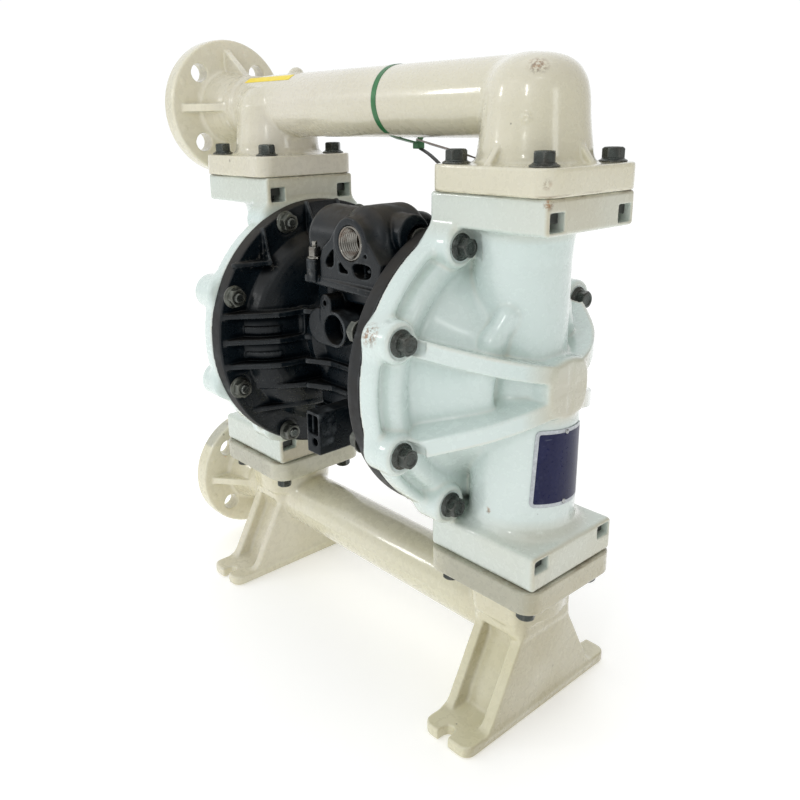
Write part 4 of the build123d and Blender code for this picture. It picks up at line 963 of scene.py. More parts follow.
# ------------------------------------------------------------------ materials
class M:
    """A small helper for node materials."""

    def __init__(self, name):
        self.m = bpy.data.materials.new(name)
        self.m.use_nodes = True
        self.t = self.m.node_tree
        self.t.nodes.clear()
        self.out = self.t.nodes.new("ShaderNodeOutputMaterial")
        self.b = self.t.nodes.new("ShaderNodeBsdfPrincipled")
        self.t.links.new(self.b.outputs[0], self.out.inputs[0])
        self.co = self.t.nodes.new("ShaderNodeTexCoord").outputs["Object"]

    def n(self, kind, **kw):
        nd = self.t.nodes.new(kind)
        for k, v in kw.items():
            setattr(nd, k, v)
        return nd

    def link(self, a, b):
        self.t.links.new(a, b)

    def noise(self, scale, detail=3.0, rough=0.55, vec=None, dist=0.0):
        nd = self.n("ShaderNodeTexNoise")
        nd.inputs["Scale"].default_value = scale
        nd.inputs["Detail"].default_value = detail
        nd.inputs["Roughness"].default_value = rough
        nd.inputs["Distortion"].default_value = dist
        self.link(vec if vec is not None else self.co, nd.inputs["Vector"])
        return nd.outputs["Fac"]

    def voro(self, scale, feature="F1", vec=None, out="Distance"):
        nd = self.n("ShaderNodeTexVoronoi", feature=feature)
        nd.inputs["Scale"].default_value = scale
        self.link(vec if vec is not None else self.co, nd.inputs["Vector"])
        return nd.outputs[out]

    def ramp(self, fac, stops):
        nd = self.n("ShaderNodeValToRGB")
        el = nd.color_ramp.elements
        while len(el) < len(stops):
            el.new(0.5)
        for e, (p, c) in zip(el, stops):
            e.position = p
            e.color = c if len(c) == 4 else (*c, 1)
        self.link(fac, nd.inputs[0])
        return nd.outputs[0]

    def rng(self, v, a, b, c=0.0, d=1.0):
        nd = self.n("ShaderNodeMapRange")
        nd.inputs[1].default_value, nd.inputs[2].default_value = a, b
        nd.inputs[3].default_value, nd.inputs[4].default_value = c, d
        self.link(v, nd.inputs[0])
        return nd.outputs[0]

    def math(self, op, a, b=None, clamp=False):
        nd = self.n("ShaderNodeMath", operation=op)
        nd.use_clamp = clamp
        for i, v in enumerate((a, b)):
            if v is None:
                continue
            if isinstance(v, (int, float)):
                nd.inputs[i].default_value = v
            else:
                self.link(v, nd.inputs[i])
        return nd.outputs[0]

    def mix(self, fac, a, b, blend="MIX"):
        nd = self.n("ShaderNodeMix", data_type="RGBA", blend_type=blend)
        nd.clamp_factor = True
        for sock, v in ((nd.inputs[0], fac), (nd.inputs[6], a), (nd.inputs[7], b)):
            if isinstance(v, (int, float)):
                sock.default_value = v
            elif isinstance(v, tuple):
                sock.default_value = v if len(v) == 4 else (*v, 1)
            else:
                self.link(v, sock)
        return nd.outputs[2]

    def attr(self, name):
        return self.n("ShaderNodeAttribute", attribute_name=name).outputs["Fac"]

    def sep(self, vec=None):
        nd = self.n("ShaderNodeSeparateXYZ")
        self.link(vec if vec is not None else self.co, nd.inputs[0])
        return nd.outputs

    def mapped(self, scale, rot=(0, 0, 0), loc=(0, 0, 0)):
        nd = self.n("ShaderNodeMapping")
        nd.inputs["Scale"].default_value = scale
        nd.inputs["Rotation"].default_value = rot
        nd.inputs["Location"].default_value = loc
        self.link(self.co, nd.inputs["Vector"])
        return nd.outputs[0]

    def bump(self, height, strength=0.3, dist=0.001, prev=None):
        nd = self.n("ShaderNodeBump")
        nd.inputs["Strength"].default_value = strength
        nd.inputs["Distance"].default_value = dist
        self.link(height, nd.inputs["Height"])
        if prev is not None:
            self.link(prev, nd.inputs["Normal"])
        return nd.outputs[0]

    def col(self, v):
        self.link(v, self.b.inputs["Base Color"])

    def rough(self, v):
        if isinstance(v, (int, float)):
            self.b.inputs["Roughness"].default_value = v
        else:
            self.link(v, self.b.inputs["Roughness"])

    def normal(self, v):
        self.link(v, self.b.inputs["Normal"])

    def set(self, **kw):
        for k, v in kw.items():
            self.b.inputs[k.replace("_", " ")].default_value = v
        return self


def lin(r, g, b):
    def f(c):
        c /= 255.0
        return c / 12.92 if c <= 0.04045 else ((c + 0.055) / 1.055) ** 2.4
    return (f(r), f(g), f(b), 1.0)


def plastic(name, light, mid, deep, sss=0.12, rough=0.26, speck=0.5, radius=(0.9, 1.0, 0.85), cav_w=0.6, warm=None, underside_shade_tint=None):
    k = M(name)
    big = k.noise(9.0, 1.0, 0.5)
    fine = k.noise(160.0, 4.0, 0.6)
    pos = k.sep()
    zz = pos[2]
    base = k.mix(k.rng(big, 0.35, 0.65), light, mid)
    cav = k.attr("cav")
    edge = k.attr("edge")
    geo = k.n("ShaderNodeNewGeometry")
    nn = k.sep(geo.outputs["Normal"])
    if warm is not None:
        # painted warm light: the thick ends of the moulding (flanges and hub) are tinted warm, most on faces that turn
        # to +x, where warm light falls
        hubz = k.math("MULTIPLY", k.rng(k.math("ABSOLUTE", pos[0]), 0.168, 0.176), k.rng(k.math("ABSOLUTE", k.math("SUBTRACT", zz, 0.2515)), 0.026, 0.018))
        ends = k.math("ADD", k.math("ADD", k.rng(zz, 0.162, 0.146), k.rng(zz, 0.344, 0.356)), k.math("MULTIPLY", hubz, 0.8), True)
        side = k.rng(nn[0], -0.2, 0.9, 0.25, 1.0)
        wn = k.rng(k.noise(11.0, 2.0, 0.5), 0.30, 0.62, 0.6, 1.0)
        base = k.mix(k.math("MULTIPLY", k.math("MULTIPLY", ends, side), wn), base, warm)
        rim_ = k.math("MULTIPLY", k.math("MULTIPLY", k.rng(edge, 0.12, 0.5), k.rng(ends, 0.5, 0.0)), k.rng(k.noise(21.0, 1.0, 0.5), 0.34, 0.6, 0.2, 0.6))
        base = k.mix(rim_, base, lin(212, 206, 190))
        # painted shade: faces that look down are pulled towards the deep tone
        base = k.mix(k.rng(nn[2], -0.15, -0.9, 0.0, 0.5), base, deep)
    if underside_shade_tint is not None:
        # painted shade: a yellow tint on faces that look down, away from the light, and on the parts near the ground,
        # broken up by noise
        low = k.rng(zz, 0.16, 0.11, 0.0, 0.8)
        base = k.mix(k.math("MULTIPLY", k.math("ADD", low, k.rng(nn[2], 0.1, -0.9, 0.0, 0.7), True), k.rng(big, 0.3, 0.6, 0.35, 0.9)), base, underside_shade_tint)
        tint = k.noise(6.5, 1.0, 0.5)
        base = k.mix(k.rng(tint, 0.46, 0.62, 0.0, 0.4), base, lin(202, 199, 168))
        # painted shade darkens the thick joint plate and the low ends of the feet that face +x; painted light makes the
        # thin tube paler
        pl = k.math("MULTIPLY", k.rng(zz, 0.1035, 0.1055), k.rng(zz, 0.1245, 0.1230))
        base = k.mix(k.math("MULTIPLY", pl, 0.9), base, lin(158, 157, 140))
        lowx = k.math("MULTIPLY", k.rng(zz, 0.14, 0.11), k.rng(nn[0], 0.35, 0.9))
        base = k.mix(k.math("MULTIPLY", lowx, k.rng(pos[0], 0.05, 0.12, 0.0, 0.75)), base, lin(168, 160, 130))
        tube = k.math("MULTIPLY", k.rng(k.math("ABSOLUTE", pos[0]), 0.118, 0.092), k.rng(zz, 0.14, 0.11))
        base = k.mix(k.math("MULTIPLY", tube, 0.6), base, lin(216, 213, 188))
        # painted light: faces of the pipe flanges and hubs that turn to +x are lightened
        ring = k.rng(pos[0], -0.178, -0.205)
        base = k.mix(k.math("MULTIPLY", ring, k.rng(nn[0], 0.0, 0.6, 0.0, 0.75)), base, lin(234, 229, 208))
        # cloudy warm blotches inside the clear resin
        cl = k.noise(19.0, 1.0, 0.5)
        base = k.mix(k.rng(cl, 0.50, 0.78, 0.0, 0.30), base, lin(222, 221, 208))
    # painted shade and light in recesses: the cavity attribute pulls them towards the deep tone, darker on the covers
    # and paler on the manifolds
    base = k.mix(k.rng(cav, 0.15, 0.9, 0.0, cav_w), base, deep)
    base = k.mix(k.rng(fine, 0.45, 0.75, 0.0, 0.05), base, deep)
    # grime collected in corners
    gn = k.noise(55.0, 5.0, 0.65)
    grime = k.math("MULTIPLY", k.rng(cav, 0.45, 0.85), k.rng(gn, 0.58, 0.76), True)
    base = k.mix(k.math("MULTIPLY", grime, 0.4 * speck), base, lin(120, 100, 66))
    # dark specks
    sp = k.voro(95.0)
    pick = k.noise(17.0, 2.0, 0.5)
    dots = k.math("MULTIPLY", k.rng(sp, 0.075, 0.04), k.rng(pick, 0.58, 0.63), True)
    base = k.mix(k.math("MULTIPLY", dots, 0.8 * speck), base, lin(60, 52, 40))
    sp2 = k.voro(33.0)
    pick2 = k.noise(8.0, 2.0, 0.5)
    dots2 = k.math("MULTIPLY", k.rng(sp2, 0.05, 0.03), k.rng(pick2, 0.60, 0.64), True)
    base = k.mix(k.math("MULTIPLY", dots2, 0.7 * speck), base, lin(86, 72, 50))
    # local rust and dirt marks: centre, size, amount
    marks = (((0.101, -0.104, 0.292), 0.0095, 0.85), ((0.157, -0.020, 0.448), 0.0075, 0.8), ((0.142, -0.0365, 0.1643), 0.003, 0.8), ((0.1875, -0.046, 0.383), 0.005, 0.9), ((0.1865, -0.043, 0.3722), 0.0045, 0.9))
    for c_, r_, am in marks:
        sub = k.n("ShaderNodeVectorMath", operation="DISTANCE")
        k.link(k.co, sub.inputs[0])
        sub.inputs[1].default_value = c_
        spot = k.math("MULTIPLY", k.rng(sub.outputs["Value"], r_, r_ * 0.35), k.rng(k.noise(420.0, 4.0, 0.7), 0.44, 0.56), True)
        base = k.mix(k.math("MULTIPLY", spot, am), base, k.mix(k.rng(k.noise(150.0, 2.0, 0.5), 0.4, 0.6), lin(148, 104, 58), lin(92, 72, 48)))
    # brown streaks near the clamped joints
    band = k.math("ADD", k.math("MULTIPLY", k.rng(zz, 0.1262, 0.1232), k.rng(zz, 0.1215, 0.1225)), k.math("MULTIPLY", k.rng(zz, 0.3725, 0.3748), k.rng(zz, 0.3775, 0.3760)), True)
    st = k.rng(k.noise(1.0, 4.0, 0.7, k.mapped((38.0, 38.0, 420.0))), 0.50, 0.66)
    base = k.mix(k.math("MULTIPLY", k.math("MULTIPLY", band, st), 0.65), base, lin(104, 80, 46))
    # hair scratches
    h1 = k.rng(k.noise(1.0, 2.0, 0.5, k.mapped((22.0, 340.0, 50.0), (0.5, 0.3, 0.9))), 0.76, 0.80)
    h2 = k.rng(k.noise(1.0, 2.0, 0.5, k.mapped((300.0, 24.0, 60.0), (0.9, 0.2, 0.4))), 0.76, 0.80)
    hair = k.math("MULTIPLY", k.math("ADD", h1, h2, True), k.rng(k.noise(10.0, 2.0, 0.5), 0.50, 0.60), True)
    base = k.mix(k.math("MULTIPLY", hair, 0.14), base, lin(150, 138, 112))
    k.col(base)
    k.rough(k.rng(k.math("ADD", fine, k.math("MULTIPLY", grime, 0.6)), 0.3, 1.0, rough - 0.05, rough + 0.2))
    k.b.inputs["Subsurface Weight"].default_value = sss
    k.b.inputs["Subsurface Radius"].default_value = radius
    k.b.inputs["Subsurface Scale"].default_value = 0.007
    k.b.inputs["IOR"].default_value = 1.5
    # a smooth skin over the cloudy resin
    k.b.inputs["Coat Weight"].default_value = 0.8
    k.link(k.rng(big, 0.3, 0.7, 0.08, 0.12), k.b.inputs["Coat Roughness"])
    b1 = k.bump(k.noise(14.0, 1.0, 0.4), 0.22, 0.0020)
    b2 = k.bump(k.noise(48.0, 1.0, 0.5), 0.06, 0.0007, b1)
    k.normal(b2)
    return k.m


def black_plastic(name):
    k = M(name)
    edge, cav = k.attr("edge"), k.attr("cav")
    n1 = k.noise(24.0, 5.0, 0.6)
    n2 = k.noise(190.0, 4.0, 0.65)
    base = k.mix(k.rng(n1, 0.35, 0.7), lin(7, 14, 19), lin(13, 22, 28))
    pos = k.sep()
    # brown dust on faces that look up and on the outer rims
    geo = k.n("ShaderNodeNewGeometry")
    nz = k.sep(geo.outputs["Normal"])[2]
    up = k.rng(nz, 0.25, 0.95)
    high = k.rng(pos[2], 0.24, 0.35, 0.35, 1.0)
    dust = k.math("MULTIPLY", k.math("MULTIPLY", up, high), k.rng(k.noise(38.0, 5.0, 0.7), 0.34, 0.6), True)
    base = k.mix(k.math("MULTIPLY", dust, 0.6), base, lin(66, 58, 48))
    rim = k.rng(k.math("ABSOLUTE", pos[0]), 0.0795, 0.0815)
    rimd = k.math("MULTIPLY", rim, k.rng(k.noise(30.0, 5.0, 0.7), 0.3, 0.62), True)
    base = k.mix(k.math("MULTIPLY", rimd, 0.6), base, lin(42, 38, 34))
    # bright scuffs on edges
    en = k.math("MULTIPLY", k.rng(edge, 0.25, 0.65), k.rng(k.noise(70.0, 4.0, 0.7), 0.44, 0.64), True)
    base = k.mix(k.math("MULTIPLY", en, 0.40), base, lin(112, 118, 122))
    # pale dust caught on the shelf and the joints round the middle
    mid_ = k.math("MULTIPLY", k.rng(k.math("ABSOLUTE", k.math("SUBTRACT", pos[2], 0.313)), 0.03, 0.006), k.rng(cav, 0.1, 0.5), True)
    pd = k.math("MULTIPLY", mid_, k.rng(k.noise(240.0, 5.0, 0.75), 0.56, 0.70), True)
    # fine scratches
    v1 = k.mapped((260.0, 14.0, 40.0), (0.4, 0.3, 0.5))
    v2 = k.mapped((18.0, 300.0, 60.0), (0.2, 0.7, -0.6))
    s1 = k.rng(k.noise(1.0, 2.0, 0.5, v1), 0.70, 0.78)
    s2 = k.rng(k.noise(1.0, 2.0, 0.5, v2), 0.71, 0.79)
    scr = k.math("MULTIPLY", k.math("ADD", s1, s2, True), k.rng(k.noise(12.0, 2.0, 0.5), 0.5, 0.62), True)
    base = k.mix(k.math("MULTIPLY", scr, 0.34), base, lin(118, 116, 112))
    # painted shade: recesses darkened to near black
    base = k.mix(k.rng(cav, 0.3, 0.9, 0.0, 0.85), base, lin(3, 5, 7))
    base = k.mix(k.math("MULTIPLY", pd, 0.55), base, lin(128, 126, 120))
    k.col(base)
    dd = k.math("ADD", dust, rimd, True)
    k.rough(k.rng(k.math("ADD", n2, k.math("MULTIPLY", dd, 0.9)), 0.3, 1.3, 0.22, 0.62))
    # painted shade: reflection turned down in recesses
    k.link(k.rng(cav, 0.12, 0.65, 0.34, 0.03), k.b.inputs["Specular IOR Level"])
    b1 = k.bump(n2, 0.12, 0.0005)
    k.normal(k.bump(k.noise(900.0, 2.0, 0.5), 0.06, 0.0002, b1))
    k.set(IOR=1.48)
    return k.m


def metal(name, col_a, col_b, rust, rough=(0.28, 0.5), rust_amt=0.3, metallic=1.0, bump=0.08):
    k = M(name)
    n1 = k.noise(120.0, 4.0, 0.6)
    base = k.mix(k.rng(n1, 0.35, 0.65), col_a, col_b)
    rn = k.math("MULTIPLY", k.rng(k.noise(60.0, 5.0, 0.7), 0.5, 0.68), rust_amt, True)
    base = k.mix(rn, base, rust)
    geo = k.n("ShaderNodeNewGeometry")
    pt = k.rng(geo.outputs["Pointiness"], 0.52, 0.6)
    base = k.mix(k.math("MULTIPLY", pt, 0.4), base, lin(150, 148, 142))
    k.col(base)
    k.link(k.rng(rn, 0.0, 0.3, metallic, metallic * 0.4), k.b.inputs["Metallic"])
    k.rough(k.rng(k.noise(300.0, 3.0, 0.6), 0.3, 0.7, rough[0], rough[1]))
    k.normal(k.bump(k.noise(500.0, 3.0, 0.6), bump, 0.0003))
    return k.m


M_COVER = plastic("cover_white", lin(211, 223, 220), lin(203, 218, 215), lin(204, 218, 209), 0.12, 0.24, 0.65, (0.9, 1.0, 0.9), 0.36, warm=lin(188, 180, 155))
M_MANI = plastic("manifold_cream", lin(214, 209, 195), lin(206, 201, 184), lin(226, 220, 188), 0.14, 0.26, 0.9, (1.0, 0.92, 0.7), 0.4, underside_shade_tint=lin(214, 208, 174))
M_BLACK = black_plastic("glass_filled_black")
M_BOLT = metal("black_oxide_steel", lin(80, 85, 82), lin(58, 62, 60), lin(76, 62, 46), (0.20, 0.36), 0.2, 0.8)
M_ZINC = metal("zinc_steel", lin(100, 103, 97), lin(70, 72, 67), lin(92, 76, 54), (0.24, 0.44), 0.3, 0.85)
M_NUT = metal("dark_square_nuts", lin(62, 66, 64), lin(44, 48, 47), lin(76, 62, 44), (0.36, 0.55), 0.3, 0.75)
M_STEEL = metal("ground_steel", lin(176, 178, 180), lin(150, 152, 155), lin(128, 106, 80), (0.16, 0.32), 0.05)
M_SS = metal("insert_steel", lin(142, 140, 134), lin(98, 96, 92), lin(136, 90, 48), (0.12, 0.24), 0.3)


def simple(name, a, b, rough, scale=60.0, bump=0.1, **kw):
    k = M(name)
    n1 = k.noise(scale, 4.0, 0.6)
    n2 = k.noise(scale * 6, 3.0, 0.6)
    k.col(k.mix(k.rng(n1, 0.3, 0.7), a, b))
    k.rough(k.rng(n2, 0.3, 0.7, rough - 0.06, rough + 0.08))
    k.normal(k.bump(n2, bump, 0.0004))
    k.set(**kw)
    return k.m


M_RUBBER = simple("rubber", lin(30, 30, 32), lin(40, 39, 38), 0.6, 90.0, 0.2)
M_TEFLON = simple("ptfe_white", lin(236, 236, 230), lin(226, 226, 218), 0.35, 70.0)
M_ACETAL = simple("acetal", lin(228, 226, 214), lin(214, 212, 198), 0.3, 60.0)
M_GREYP = simple("plate_plastic", lin(52, 54, 58), lin(66, 68, 70), 0.45, 80.0)
M_BRASS = metal("bronze", lin(176, 142, 84), lin(150, 118, 66), lin(96, 74, 48), (0.3, 0.45), 0.2)
M_TIE = simple("tie_green", lin(52, 122, 70), lin(38, 98, 56), 0.36, 120.0, 0.12)
M_TAIL = simple("tail_black", lin(26, 26, 27), lin(36, 35, 34), 0.45, 150.0, 0.12)
M_TAG = simple("tag_film", lin(112, 98, 88), lin(84, 74, 68), 0.38, 90.0, 0.14)
M_STICK = simple("sticker_yellow", lin(248, 224, 26), lin(238, 210, 18), 0.36, 130.0, 0.08)


def label_material():
    k = M("label_face")
    field = k.attr("field")
    wear = k.noise(60.0, 5.0, 0.7)
    fine = k.noise(420.0, 3.0, 0.6)
    navy = k.mix(k.rng(wear, 0.35, 0.65), lin(14, 17, 58), lin(22, 26, 68))
    v1 = k.mapped((30.0, 60.0, 420.0), (0.5, 0.2, 0.3))
    scr = k.rng(k.noise(1.0, 3.0, 0.5, v1), 0.68, 0.78)
    navy = k.mix(k.math("MULTIPLY", scr, 0.55), navy, lin(150, 156, 170))
    rub = k.rng(k.noise(28.0, 5.0, 0.75), 0.62, 0.74)
    navy = k.mix(k.math("MULTIPLY", rub, 0.25), navy, lin(96, 102, 128))
    silver = k.mix(k.rng(fine, 0.3, 0.7), lin(186, 190, 194), lin(160, 164, 168))
    k.col(k.mix(k.rng(field, 0.45, 0.55), silver, navy))
    k.link(k.rng(field, 0.4, 0.6, 0.9, 0.0), k.b.inputs["Metallic"])
    k.rough(k.rng(fine, 0.3, 0.7, 0.26, 0.38))
    k.normal(k.bump(wear, 0.1, 0.0004))
    k.link(k.rng(fine, 0.3, 0.7, 0.2, 0.3), k.b.inputs["Specular IOR Level"])
    return k.m


M_LABEL = label_material()


# ------------------------------------------------------------------ pieces
def set_mat(o, *mats):
    o.data.materials.clear()
    for m_ in mats:
        o.data.materials.append(m_)


def finish_piece(o, mat, body, nodes):
    set_mat(o, mat)
    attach(o, body)
    if nodes:
        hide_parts(*nodes)
    return o


Q = 1.0
cov = build("fluid_cover_near_shell", fluid_cover(1.2 * Q), cover_hidden, 0.2)
cov_far = mirrored_copy(cov, "fluid_cover_far_shell")
finish_piece(cov, M_COVER, "root", ["fluid_cover_near"])
finish_piece(cov_far, M_COVER, "root", ["fluid_cover_far"])
im = build("inlet_manifold_shell", inlet_manifold(1.35 * Q), manifold_hidden(Z_IN, Z_IN, Z_LM1 - 1), 0.2)
finish_piece(im, M_MANI, "root", ["inlet_manifold"])
om = build("outlet_manifold_shell", outlet_manifold(1.3 * Q), manifold_hidden(Z_OUT, Z_UM0 + 1, Z_OUT), 0.2)
finish_piece(om, M_MANI, "root", ["outlet_manifold"])
ac = build("air_cover_near_shell", air_cover(1.1 * Q, False), air_hidden, 0.2)
ac_far = build("air_cover_far_shell", air_cover(1.1 * Q, True), air_hidden, 0.2, mirror=True)
finish_piece(ac, M_BLACK, "root", ["air_cover_near"])
finish_piece(ac_far, M_BLACK, "root", ["air_cover_far"])
ch = build("center_housing_body", center_housing(1.1 * Q), None)
finish_piece(ch, M_BLACK, "root", ["center_housing"])

# cover bolts and nuts
VB, FB = flanged_bolt(X_SEAT - X_DISC + 10.0, 18.0)
VN, FN = flanged_nut()
rot = [7, 25, 48, 14, 33, 52, 3, 40]
for side, A, sgn in (("near", AX_P, 1), ("far", AX_N, -1)):
    pb, pn = [], []
    for i, a in enumerate(ANG):
        y, z = RB * math.cos(math.radians(a)), ZC + RB * math.sin(math.radians(a))
        T = A @ turn_z(math.radians(rot[(i + (0 if sgn > 0 else 3)) % 8]))
        pb.append((VB, FB, T, (sgn * X_SEAT, y, z)))
        Tn = (AX_N if sgn > 0 else AX_P) @ turn_z(math.radians(rot[(i + 5) % 8]))
        pn.append((VN, FN, Tn, (sgn * X_DISC, y, z)))
    o = hard(obj("bolt_set_" + side, new_mesh("bolt_set_" + side, *place(pb))))
    finish_piece(o, M_BOLT, "root", ["cover_bolts_" + side])
    o = hard(obj("nut_set_" + side, new_mesh("nut_set_" + side, *place(pn))))
    finish_piece(o, M_ZINC, "root", ["cover_nuts_" + side])

VT, FT = flanged_bolt(Z_UM1 - 355.6, 20.0)
VL, FL = flanged_bolt(144.2 - Z_LM0, 20.0)
VS, FS = square_nut()
pt_, pl_, st_, sl_ = [], [], [], []
for sx in (-1, 1):
    for bx in (-BX, BX):
        for by in (-BX, BX):
            x = sx * XC + bx
            ang = math.radians((x * 3.7 + by * 1.3) % 60)
            pt_.append((VT, FT, UP @ turn_z(ang), (x, by, Z_UM1)))
            pl_.append((VL, FL, DOWN @ turn_z(ang), (x, by, Z_LM0)))
            st_.append((VS, FS, UP @ turn_z(math.radians(3.0 * math.sin(x))), (x, by, 363.15)))
            sl_.append((VS, FS, UP @ turn_z(math.radians(3.0 * math.cos(x))), (x, by, 139.65)))
for nm, prt, node, mt, sl in (("bolt_set_outlet", pt_, "outlet_manifold_bolts", M_BOLT, "bolt_steel"), ("bolt_set_inlet", pl_, "inlet_manifold_bolts", M_BOLT, "bolt_steel"),
                              ("square_nut_set_outlet", st_, "outlet_square_nuts", M_NUT, "zinc_steel"), ("square_nut_set_inlet", sl_, "inlet_square_nuts", M_NUT, "zinc_steel")):
    o = hard(obj(nm, new_mesh(nm, *place(prt))))
    finish_piece(o, mt, "root", [node])

# threaded insert of the air inlet
prof_in = [(12.0, 57.2), (12.0, 73.9), (11.4, 74.6), (10.9, 74.6), (10.45, 74.0)]
zi = 73.4
while zi > 59.0:
    prof_in += [(10.45, zi), (9.75, zi - 0.72), (9.75, zi - 0.95), (10.45, zi - 1.65)]
    zi -= 1.81
prof_in += [(10.3, 57.2), (12.0, 57.2)]
VI, FI = lathe(prof_in, 56, False, False)
o = obj("insert_ring", new_mesh("insert_ring", *place([(VI, FI, np.array([[1.0, 0, 0], [0, 0, -1], [0, 1, 0]]), (47.0, 0, 339.8))])))
hard(o, 28)
finish_piece(o, M_SS, "root", ["air_inlet_insert"])

# ground stud: screw, washer and hex nut
VG, FG = lathe([(1.6, 313.0), (2.0, 313.4)] + [(r, z) for r, z in thread_rings(314.0, 335.6, 2.0, 0.7, 0.28)] + [(2.0, 335.8), (2.0, 336.6), (1.5, 337.3), (0.6, 337.3)], 20)
o = hard(obj("ground_stud", new_mesh("ground_stud", *place([(VG, FG, UP, (5.3, -72.5, 0))]))))
finish_piece(o, M_SS, "root", ["ground_screw"])
nut_r = [(2.05, 325.1), (5.3, 325.1), (5.5, 325.5), (5.3, 326.4), (4.6, 326.6), (hexr(4.0, 4.5), 326.9), (hexr(4.0, 9), 327.3), (hexr(4.0, 9), 332.6), (hexr(4.0, 4.2), 333.4), (3.2, 333.5), (2.05, 333.1)]
VG, FG = lathe(nut_r + [nut_r[0]], 36, False, False)
o = hard(obj("ground_nut_washer", new_mesh("ground_nut_washer", *place([(VG, FG, UP @ turn_z(0.3), (5.3, -72.5, 0))]))))
finish_piece(o, M_SS, "root", ["ground_nut"])


def shell_patch(fn, nu, nv, thick, name):
    """A closed thin sheet; fn(u, v) gives position (mm), outward normal and a field value."""
    V, fld = [], []
    for layer in (1, 0):
        for j in range(nv + 1):
            for i in range(nu + 1):
                p, n_, fv = fn(i / nu, j / nv)
                V.append(np.array(p) + np.array(n_) * (thick if layer else 0.0))
                fld.append(fv if layer else 0.0)
    W = nu + 1
    N1 = W * (nv + 1)
    Fc = []
    for j in range(nv):
        for i in range(nu):
            a = j * W + i
            Fc.append((a, a + 1, a + 1 + W, a + W))
            b = a + N1
            Fc.append((b, b + W, b + 1 + W, b + 1))
    ring = [i for i in range(W)] + [j * W + nu for j in range(1, nv + 1)] + [nv * W + i for i in range(nu - 1, -1, -1)] + [j * W for j in range(nv - 1, 0, -1)]
    for i in range(len(ring)):
        a, b = ring[i], ring[(i + 1) % len(ring)]
        Fc.append((a, a + N1, b + N1, b))
    o = obj(name, new_mesh(name, [tuple(v * 0.001) for v in V], Fc))
    add_attr(o.data, "field", fld)
    hard(o, 40)
    return o


# label plate bent round the front column, tilted a little
def label_pt(u, v):
    hw, hh, cr = 23.8, 27.2, 4.0
    a, b = (u * 2 - 1) * hw, (v * 2 - 1) * hh
    # squeeze the outline's corners to a radius
    da, db = abs(a) - (hw - cr), abs(b) - (hh - cr)
    if da > 0 and db > 0:
        q = max(da, db) / math.hypot(da, db)
        a = math.copysign(hw - cr + da * q, a)
        b = math.copysign(hh - cr + db * q, b)
        da, db = abs(a) - (hw - cr), abs(b) - (hh - cr)
    dist = math.hypot(max(da, 0), max(db, 0)) + min(max(da, db), 0) - cr
    t = math.radians(3.0)
    a2, b2 = a * math.cos(t) + b * math.sin(t), -a * math.sin(t) + b * math.cos(t)
    th = a2 / 36.9 + math.radians(-5.2)
    n_ = (math.cos(th), math.sin(th), 0)
    return (XC + 36.72 * n_[0], 36.72 * n_[1], 197.6 + b2), n_, 1.0 if dist < -2.4 else 0.0


o = shell_patch(label_pt, 84, 96, 0.5, "label_sheet")
finish_piece(o, M_LABEL, "root", ["label_plate"])
th = math.radians(-3.4)
VR, FR = lathe([(1.7, -0.6), (1.7, 0.2), (1.5, 0.6), (0.9, 0.85), (0.01, 0.9)], 16)
n_ = np.array([math.cos(th), math.sin(th), 0])
A = np.stack([np.array([-math.sin(th), math.cos(th), 0]), np.array([0, 0, 1.0]), n_], 1)
riv = [(VR, FR, A, tuple(np.array([XC, 0, 222.6]) + 37.1 * n_)), (VR, FR, A, tuple(np.array([XC, 0, 172.8]) + 37.1 * n_))]
o = obj("label_rivets", new_mesh("label_rivets", *place(riv)))
finish_piece(o, M_STEEL, "root", [])


# bare yellow sticker on the upper tube
def stick_pt(u, v):
    th = math.radians(90 + (23.0 + 17.0 * v))
    n_ = (0, math.cos(th), math.sin(th))
    return (-162 + 65 * u, 25.25 * n_[1], Z_OUT + 25.25 * n_[2]), n_, 0.0


o = shell_patch(lambda u, v: stick_pt(u, 1 - v), 40, 12, 0.15, "sticker_strip")
finish_piece(o, M_STICK, "root", [])


def sweep(path, w, t, name, mat, closed, wdir=(1, 0, 0)):
    """Flat strip along a path (mm): w across wdir, t thick outwards."""
    P = np.array(path, float)
    n = len(P)
    wd = np.array(wdir, float)
    V, Fc = [], []
    for i in range(n):
        a, b = (P[(i - 1) % n], P[(i + 1) % n]) if closed else (P[max(i - 1, 0)], P[min(i + 1, n - 1)])
        tan = (b - a) / np.linalg.norm(b - a)
        w_ = wd - tan * (wd @ tan)
        w_ /= np.linalg.norm(w_)
        nn = np.cross(w_, tan)
        for su, sv in ((-0.5, 0), (0.5, 0), (0.5, 1), (-0.5, 1)):
            V.append(tuple((P[i] + w_ * w * su + nn * t * sv) * 0.001))
    m_ = n if closed else n - 1
    for i in range(m_):
        a, b = 4 * i, 4 * ((i + 1) % n)
        for q in range(4):
            r = (q + 1) % 4
            Fc.append((a + q, b + q, b + r, a + r))
    if not closed:
        Fc += [(0, 1, 2, 3), (4 * n - 1, 4 * n - 2, 4 * n - 3, 4 * n - 4)]
    o = obj(name, new_mesh(name, V, Fc))
    hard(o, 40)
    return o


